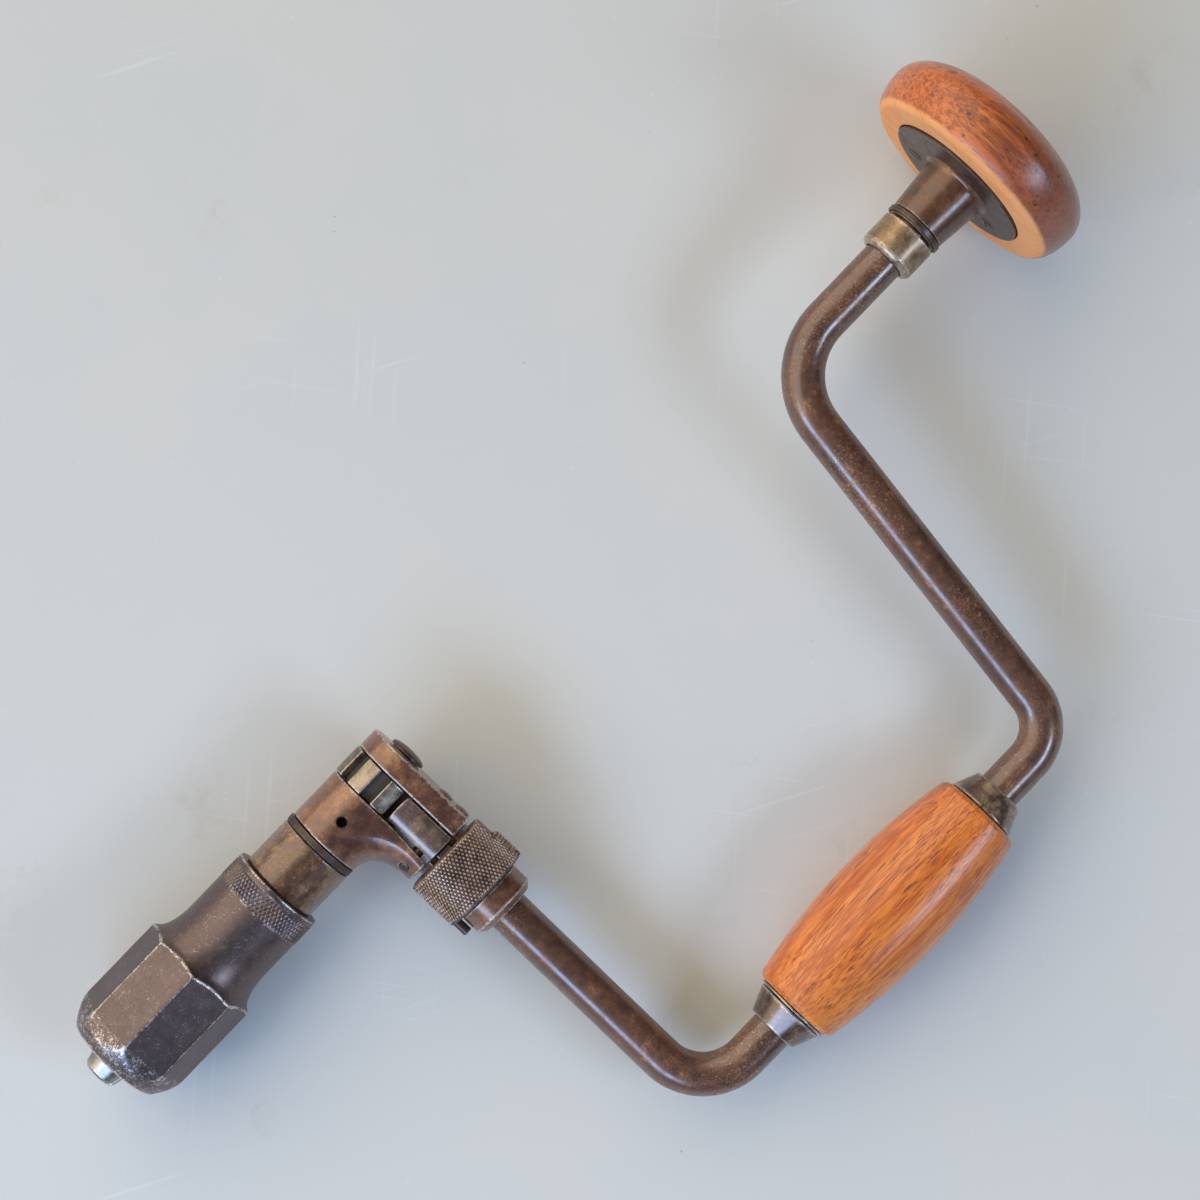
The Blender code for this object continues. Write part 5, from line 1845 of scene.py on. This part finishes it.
@dataclass(frozen=True)
class Ratchet(Assembly):
    """The wheel and the two pawls."""

    half_width: float = 4.5
    wheel_radius: float = 11.7
    root_radius: float = 9.2
    teeth: int = 8
    tooth_angle: float = math.radians(25)
    bore: float = 5.8
    pawl_round: Point2 = (7.0, 10.4)  # The back's radius and height.
    pawl_half_width: float = 4.2
    pawl_outline: tuple[Point2, ...] = (
        (8.0, 11.0), (8.62, 8.4), (12.9, 7.8), (13.2, 4.29), (21.0, 3.4), (38.4, 5.38), (38.4, 10.32),
        (34.8, 10.32), (34.2, 7.6), (25.2, 7.6), (24.9, 11.0),
    )
    pawl_room: tuple[Corner, Corner] = ((-5.3, 2.6, 7.4), (5.3, 11.2, 39.2))
    pivot: Point2 = (21.0, 6.2)  # Distance from the main axis, height.
    pivot_hole: float = 1.7
    heel_half_width: float = 2.4
    heel_start: float = 24.9

    def build(self) -> None:
        """Lays skins over the wheel and the pawls."""
        edge, far = 0.3, self.wheel_radius
        wheel = Field.outline(self._wheel_outline(edge), (0, 1), edge)
        wheel = wheel.crossed(Field.slab(2, -self.half_width, self.half_width), edge)
        wheel = wheel.cut(Field.core(self.bore), 0.2)
        shape = Skin(0.28).over(wheel, (-far, -far, -self.half_width), (far, far, self.half_width))
        # The tooth gaps and the bore are darkened: painted shade between the teeth, with some grime.
        shape = shape.grimed_and_shaded_in(Field.core(self.root_radius + 0.9))
        finishes = self.finishes
        self.add(
            shape, "wheel", self.layout.main, finishes.bright, "spindle", "bright_steel", "ratchet_wheel",
        )
        self._build_pawl("pawl_upper", self.layout.arm)
        self._build_pawl("pawl_lower", self.layout.arm.turned(math.pi, "Z"))
        self.dress(finishes.dark, "wheel_key")
        self.dress(finishes.bright, "pawl_spring_upper", "pawl_spring_lower")

    def _wheel_outline(self, edge: float) -> list[Point2]:
        """The wheel's teeth.

        Args:
            edge: How far the outline is drawn in, to be rounded out again.

        Returns:
            The outline.
        """
        pitch = math.tau / self.teeth
        tip, root = self.wheel_radius - edge, self.root_radius - edge
        inset = edge / self.wheel_radius
        outline = []
        for i in range(self.teeth):
            middle = pitch * (i + 0.5)
            rise, fall = middle - self.tooth_angle / 2, middle + self.tooth_angle / 2
            for j in range(7):
                outline.append(polar(tip, rise + inset + (fall - rise - 2 * inset) * j / 6))
            for j in range(5):
                gap = pitch - self.tooth_angle + 2 * inset
                outline.append(polar(root, fall - inset + gap * j / 4))
        return outline

    def _build_pawl(self, name: str, axes: Axes) -> None:
        """One pawl.

        Args:
            name: Its body and its solid.
            axes: Arm axes turned so that its height is outward.
        """
        radius, top = self.pawl_round
        body = Field.rod((0, 1), (0.0, top - radius), radius)
        body = body.crossed(Field.slab(2, 0.0, self.heel_start + 0.3), 0.3)
        heel = Field.slab(0, -self.heel_half_width, self.heel_half_width)
        heel = heel.crossed(Field.slab(2, self.heel_start, FAR), CRISP)
        sides = Field.slab(0, -self.pawl_half_width, self.pawl_half_width)
        pawl = Field.outline(self.pawl_outline, (2, 1)).crossed(body.joined(heel, CRISP), 0.35)
        pawl = pawl.crossed(sides, 0.3).cut(Field.rod((2, 1), self.pivot, self.pivot_hole), 0.15)
        shape = Skin(0.26, margin=0.0).over(pawl, *self.pawl_room)
        self.add(shape, name + "_piece", axes, self.finishes.pawl, name, "dark_steel", name)


@dataclass(frozen=True)
class Selector(Assembly):
    """The knurled selector ring with its lug, and the arm collar behind it."""

    start: float = 26.5
    end: float = 42.4
    radius: float = 14.0
    bore: float = 9.6
    chamfer: float = 0.8
    notch: Point2 = (1.8, 6.1)  # Depth, length.
    pocket: tuple[float, float, float, float] = (13.0, 33.6, 39.6, 7.2)  # Radius, start, end, lobe.
    knurl_depth: float = 0.34
    lug: Corner = (1.4, 12.1, 4.4)  # Radius, distance from the arm's axis, reach.
    collar: tuple[float, float, float, float] = (10.2, 42.7, 50.3, 1.8)  # Radius, start, end, slope.
    collar_bore: float = 6.5

    def build(self) -> None:
        """Lays a skin over the ring, rolls its knurl and turns the collar."""
        axes, finishes = self.layout.arm, self.finishes
        far = self.radius
        ring = Skin(0.36).over(self._ring(), (-far, -far, self.start), (far, far, self.end))
        self.add(ring, "ring", axes, finishes.knurled, "selector", "dark_steel", "selector_ring")
        depth, length = self.notch
        knurl = Knurl(
            Band.DIAMONDS, self.radius - self.knurl_depth - 0.02, self.knurl_depth + 0.02,
            self.start + 0.9, self.end - 0.7, 72, 14, self.radius - depth - 0.2,
            self.start + length + 0.9,
        )
        piece = knurl.build("ring_knurl", axes, finishes.knurled)
        self.stand_in(piece, "selector", "dark_steel")
        radius, offset, reach = self.lug
        lug = Lathe(40, 0.5).turn(tube(
            0.0, (radius, self.end + reach, 0.5), (radius, self.end - 4.0, 0.2), inside=0.0,
        ))
        place = axes.moved(-offset, 0, 0)
        self.add(lug, "lug", place, finishes.dark, "selector", "dark_steel", "selector_lug")
        wide, low, top, slope = self.collar
        collar = Lathe().turn(tube(
            self.collar_bore, (wide - slope, top, 0.3), (wide, top - slope, 0.4), (wide, low, 0.4),
            inside=0.2,
        ))
        self.add(
            collar, "collar_on_arm", axes, finishes.bracket, "frame", "bracket_steel", "arm_collar",
        )
        self.dress(finishes.dark, "arm_pin")
        self.dress(finishes.bracket, "arm_shank")
        self.dress(finishes.bright, "detent_ball", "detent_spring")

    def _ring(self) -> Field:
        """The ring with its bore, pocket and notch and the lug's hole.

        Returns:
            The ring in arm axes.
        """
        edge = 0.25
        base = self.radius - self.knurl_depth
        rim = base - self.chamfer
        ring = Field.turned([
            (0.0, self.end - edge), (rim - edge, self.end - edge),
            (base - edge, self.end - self.chamfer), (base - edge, self.start + self.chamfer),
            (rim - edge, self.start + edge), (0.0, self.start + edge),
        ], edge)
        ring = ring.cut(Field.core(self.bore), 0.25)
        wide, first, last, lobe = self.pocket
        pocket = Field.core(wide).crossed(Field.slab(2, first, last), CRISP)
        ring = ring.cut(pocket.crossed(Field.slab(0, -lobe, FAR), CRISP), 0.15)
        depth, length = self.notch
        notch = Field.slab(0, self.radius - depth, FAR)
        ring = ring.cut(notch.crossed(Field.slab(2, 0.0, self.start + length), CRISP), 0.2)
        radius, offset, _ = self.lug
        hole = Field.rod((0, 1), (-offset, 0.0), radius + 0.3)
        return ring.cut(hole.crossed(Field.slab(2, self.end - 4.3, FAR), CRISP), CRISP)


@dataclass(frozen=True)
class Spindle(Assembly):
    """The spindle with its collar, dust ring and cap."""

    end: float = 11.4
    seat: float = 4.8
    stub: Point2 = (5.0, 5.5)  # Radius past the wheel and under it.
    ring: Corner = (11.78, -23.9, -21.9)  # Radius, front, back.
    ring_cut: float = 0.2
    collar: Corner = (11.7, -39.3, -24.2)  # Radius, front, back.
    nose: Point2 = (11.1, -83.8)  # Radius, tip.
    journal: float = 6.5
    slot_half: float = 4.3
    slot_end: float = -70.6
    socket: Point2 = (4.0, 18.0)  # Radius, depth.
    jaw_roll: float = JAW_ROLL
    cap: Corner = (5.6, 0.5, 1.9)  # Radius, rim, height.
    cap_stem: Point2 = (1.8, 6.0)  # Radius, depth.

    def build(self) -> None:
        """Lays a skin over the spindle and turns what is on it."""
        axes, finishes = self.layout.main, self.finishes
        far, tip = self.collar[0], self.nose[1]
        body = Skin(0.38).over(self._body(), (-far, -far, tip), (far, far, self.end))
        self.add(body, "spindle_body", axes, finishes.collar, "spindle", "bracket_steel", "spindle")
        self._build_dust_ring()
        crown, rim, height = self.cap
        base = self.end + 0.3
        dome: list[Corner] = []
        for i in range(13):
            angle = QUARTER * (1 - i / 12)
            lift = base + rim + (height - rim) * math.sin(angle)
            dome.append((crown * math.cos(angle) if i else 0.0, lift, 0.0))
        radius, depth = self.cap_stem
        foot = self.end - depth
        dome += [(crown, base, 0.15), (radius, base, 0.1), (radius, foot, 0.1), (0.0, foot, 0.0)]
        cap = Lathe(64, 0.5).turn(dome)
        self.add(cap, "cap", axes, finishes.dark, "spindle", "bracket_steel", "spindle_cap")

    def _body(self) -> Field:
        """The spindle with the jaws' slot, the socket and the cap's hole.

        Returns:
            The spindle in main axes.
        """
        edge = 0.3
        wide, front, back = self.collar
        nose, tip = self.nose
        past, under = self.stub
        grown = [
            (0.0, self.end), (past, self.end), (past, self.seat), (under, self.seat),
            (under, -self.seat), (self.journal, -self.seat), (self.journal, back), (wide, back),
            (wide, front), (nose, front), (nose, tip), (0.0, tip),
        ]
        body = Field.turned(self._inset(grown, edge), edge)
        roll = math.pi - self.jaw_roll
        across = np.array((-math.sin(roll), math.cos(roll)))
        slot = Field(lambda points: np.abs(points[:, :2] @ across) - self.slot_half)
        body = body.cut(slot.crossed(Field.slab(2, -FAR, self.slot_end), CRISP), 0.2)
        radius, depth = self.socket
        socket = Field.core(radius).crossed(Field.slab(2, -FAR, tip + depth), CRISP)
        body = body.cut(socket, 0.2)
        radius, depth = self.cap_stem
        hole = Field.core(radius + 0.3).crossed(Field.slab(2, self.end - depth - 0.3, FAR), CRISP)
        return body.cut(hole, CRISP)

    @staticmethod
    def _inset(corners: Sequence[Point2], by: float) -> list[Point2]:
        """Draws a square-cornered profile in, away from its outline.

        Args:
            corners: The profile.
            by: How far it is drawn in.

        Returns:
            The smaller profile.
        """
        table = np.array(corners)
        before, after = np.roll(table, 1, 0) - table, np.roll(table, -1, 0) - table
        moved = []
        for i, point in enumerate(table):
            shift = np.zeros(2)
            for run in (-before[i], after[i]):
                shift += by * (np.array((run[1], -run[0])) / np.linalg.norm(run))
            if point[0] == 0.0:
                shift[0] = 0.0
            moved.append(tuple(point + shift))
        return moved

    def _build_dust_ring(self) -> None:
        """The thin ring between boss and collar, with fine cuts around it."""
        axes, finish = self.layout.main, self.finishes.dark
        wide, low, top = self.ring
        depth = self.ring_cut
        ring = Lathe().turn(tube(
            self.journal + 0.3, (wide - depth, top, 0.15), (wide - depth, low, 0.15),
        ))
        self.add(ring, "ring_of_boss", axes, finish, "spindle", "dark_steel", "dust_ring")
        ribs = Knurl(Band.RIBS, wide - 0.75 * depth, 0.5 * depth, low + 0.12, top - 0.12, 118, 1)
        self.stand_in(ribs.build("ring_ribs", axes, finish), "spindle", "dark_steel")


@dataclass(frozen=True)
class Chuck(Assembly):
    """The eight-sided shell with its knurled sleeve, and the jaws."""

    back: float = -39.6
    front: float = -105.0
    octagon_front: float = -97.2
    octagon_back: float = -70.5
    flare: float = 10.5
    corner: float = 18.3
    nose_radius: float = 14.4
    nose_bulge: float = 0.5
    nose_wear: float = 0.55
    sleeve: float = 14.1
    bore: float = 11.4
    throat: float = 6.7
    cone: float = math.radians(12.7)
    edge: float = 0.45
    knurl: Corner = (1.8, 7.9, 0.12)  # Start and end from the back, depth.
    jaw_roll: float = JAW_ROLL
    jaw_tip: float = -111.2
    jaw_shoulder: float = -93.4
    jaw_tail: float = -79.9
    jaw_tail_half: float = 4.0
    jaw_gap: float = 0.6
    groove: float = 2.6

    def build(self) -> None:
        """Lays a skin over the shell, rolls its knurl and adds the jaws."""
        axes, finishes, far = self.layout.main, self.finishes, self.corner
        rim, end, depth = self.knurl
        skin = Skin(0.43, 0.35, 0.9)
        shape = skin.over(self._shell(), (-far, -far, self.front), (far, far, self.back))
        # The sleeve under the knurl is darkened: painted shade between the teeth, with some grime.
        shape = shape.grimed_and_shaded_in(Field.slab(2, self.back - end + 0.3, self.back - rim - 0.3))
        shape.wear[shape.points[:, 2] < self.octagon_front + 0.5] += self.nose_wear
        self.add(shape, "shell", axes, finishes.shell, "shell", "shell_steel", "chuck_shell")
        knurl = Knurl(
            Band.DIAMONDS, self.sleeve - depth - 0.02, 2 * depth, self.back - end + 0.1,
            self.back - rim - 0.1, 72, 5, worn=0.5,
        )
        piece = knurl.build("shell_knurl", axes, finishes.shell)
        self.stand_in(piece, "shell", "shell_steel")
        for name, turn in (("jaw_a", math.pi - self.jaw_roll), ("jaw_b", -self.jaw_roll)):
            jaw = self._jaw()
            place = axes.turned(turn, "Z")
            self.add(jaw, name + "_piece", place, finishes.silver, name, "bright_steel", name)

    def _shell(self) -> Field:
        """The shell as a turned form crossed with an eight-sided bar.

        Returns:
            The shell in main axes.
        """
        rim, end, depth = self.knurl
        inner = self.sleeve - depth
        profile: list[Point2] = [
            (0.0, self.back), (self.sleeve, self.back), (self.sleeve, self.back - rim),
            (inner, self.back - rim), (inner, self.back - end), (self.sleeve, self.back - end),
        ]
        for i in range(15):
            angle = QUARTER * i / 14
            height = self.octagon_back + self.flare * (1 - math.sin(angle))
            radius = self.sleeve + (self.corner - self.sleeve) * (1 - math.cos(angle))
            profile.append((radius, height))
        for i in range(9):
            share = i / 8
            bulge = self.nose_bulge * math.sin(math.pi * share)
            radius = self.corner + (self.nose_radius - self.corner) * share + bulge
            profile.append((radius, self.octagon_front + (self.front - self.octagon_front) * share))
        profile.append((0.0, self.front))
        reach = (self.corner * math.cos(math.pi / 8) - self.edge) / math.cos(math.pi / 8)
        section = [polar(reach, math.pi / 4 * i) for i in range(8)]
        bar = Field.outline(section, (0, 1), self.edge)
        cone_end = self.front + (self.bore - self.throat) / math.tan(self.cone)
        past = 5.0
        inside = Field.turned([
            (0.0, self.back + past), (self.bore, self.back + past), (self.bore, cone_end),
            (self.throat, self.front), (self.throat, self.front - past), (0.0, self.front - past),
        ])
        return Field.turned(profile).crossed(bar, self.edge).cut(inside, 0.4)

    def _jaw(self) -> Shape:
        """One jaw: half of a cone with a groove for a square tang.

        Returns:
            The jaw, in main axes turned so that it lies along X.
        """
        slope = math.tan(self.cone)
        clear = 0.3 / math.cos(self.cone)
        tip_edge = 0.7
        tip_end = self.jaw_tip + tip_edge

        def radius_at(height: float) -> float:
            """The jaw's radius at a height."""
            return self.throat - clear + (height - self.front) * slope

        wide, tip = radius_at(self.jaw_shoulder), radius_at(tip_end)
        cone = Field.turned([
            (0.0, self.jaw_tail), (wide, self.jaw_tail), (wide, self.jaw_shoulder), (tip, tip_end),
            (tip - tip_edge, self.jaw_tip), (0.0, self.jaw_tip),
        ])
        jaw = cone.crossed(Field.slab(0, self.jaw_gap / 2, FAR), 0.2)
        square = [(self.groove, 0.0), (0.0, self.groove), (-self.groove, 0.0), (0.0, -self.groove)]
        jaw = jaw.cut(Field.outline(square, (0, 1)), 0.15)
        tail = Field.slab(1, -self.jaw_tail_half, self.jaw_tail_half)
        jaw = jaw.crossed(tail.joined(Field.slab(2, -FAR, self.jaw_shoulder), CRISP), 0.2)
        room = 0.8
        low = (-0.6, -wide - room, self.jaw_tip - room)
        high = (wide + room, wide + room, self.jaw_tail + room)
        return Skin(0.3, margin=0.0).over(jaw, low, high)


# --------------------------------------
# Studio


@dataclass(frozen=True)
class Lamp:
    """A soft rectangular lamp that looks at the brace.

    Attributes:
        name: Its name.
        bearing: Its direction over the table, in degrees from +X towards +Y.
        height: Its angle above the table, in degrees.
        distance: How far it stands, in metres.
        size: Its width and height, in metres.
        power: Its power, in watts.
        colour: Its colour.
    """

    name: str
    bearing: float
    height: float
    distance: float
    size: Point2
    power: float
    colour: Rgb

    def build(self) -> None:
        """Hangs the lamp."""
        light = bpy.data.lights.new(self.name, "AREA")
        light.shape = "RECTANGLE"
        light.size, light.size_y = self.size
        light.energy = self.power
        light.color = self.colour
        lamp = bpy.data.objects.new(self.name, light)
        turn, lift = math.radians(self.bearing), math.radians(self.height)
        way = Vector((math.cos(turn) * math.cos(lift), math.sin(turn) * math.cos(lift), math.sin(lift)))
        lamp.location = way * self.distance
        lamp.rotation_euler = way.to_track_quat("Z", "Y").to_euler()
        bpy.context.scene.collection.objects.link(lamp)


@dataclass(frozen=True)
class Studio:
    """The table, the lamps, the sky and the camera."""

    camera_place: Corner = (-0.05068, 0.00441, 0.76874)
    camera_turn: Corner = (0.09436, -0.01366, -0.8046)
    lens: float = 79.93
    table_half: float = 12.0
    lit_side: Corner = (-0.28, 0.94, 0.12)
    sky_dim: Rgb = (0.055, 0.05, 0.056)
    sky_lit: Rgb = (0.5, 0.47, 0.41)
    lamps: tuple[Lamp, ...] = (
        Lamp("window", 184.0, 36.0, 1.4, (1.4, 0.42), 14.0, (0.42, 0.62, 1.0)),
        Lamp("far_window", 286.0, 38.0, 1.8, (0.9, 0.4), 12.0, (0.6, 0.76, 1.0)),
        Lamp("room_lamp", 104.0, 42.0, 2.0, (4.8, 2.3), 46.0, (0.98, 0.86, 0.68)),
    )

    def build(self) -> None:
        """Sets up what is around the brace."""
        scene = bpy.context.scene
        scene.view_settings.view_transform = "Standard"
        half = self.table_half
        corners = [(-half, -half, 0), (half, -half, 0), (half, half, 0), (-half, half, 0)]
        mesh = bpy.data.meshes.new("table")
        mesh.from_pydata(corners, [], [(0, 1, 2, 3)])
        mesh.materials.append(TableTop().material())
        table = bpy.data.objects.new("table", mesh)
        scene.collection.objects.link(table)
        for lamp in self.lamps:
            lamp.build()
        scene.world = self._sky()
        lens = bpy.data.cameras.new("camera")
        lens.sensor_width = 36.0
        lens.lens = self.lens
        camera = bpy.data.objects.new("camera", lens)
        camera.location = self.camera_place
        camera.rotation_euler = self.camera_turn
        scene.collection.objects.link(camera)
        scene.camera = camera

    def _sky(self) -> bpy.types.World:
        """A room that is brighter on one side.

        Returns:
            The world.
        """
        world = bpy.data.worlds.new("room")
        world.use_nodes = True
        sheet = Sheet(world.node_tree)
        way = sheet.out("ShaderNodeTexCoord", name="Generated")
        towards = sheet.out(
            "ShaderNodeVectorMath", {"operation": "DOT_PRODUCT"}, {0: way, 1: self.lit_side}, "Value",
        )
        light = sheet.mix(towards.step(-0.5, 0.9), self.sky_dim, self.sky_lit)
        sheet.feed(world.node_tree.nodes["Background"].inputs["Color"], light)
        return world


def main() -> None:
    """Builds the brace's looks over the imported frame."""
    logging.basicConfig(level=logging.INFO, format="%(name)s: %(message)s")
    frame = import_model()
    layout = Layout.from_joints(frame["joints"])
    finishes = Finishes(layout)
    for kind in (Crank, GripHandle, Head, Bracket, Ratchet, Selector, Spindle, Chuck):
        kind(layout, finishes, frame["nodes"]).build()
        LOG.info("%s built", kind.__name__)
    Studio().build()
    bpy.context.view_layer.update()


if __name__ == "__main__":
    main()
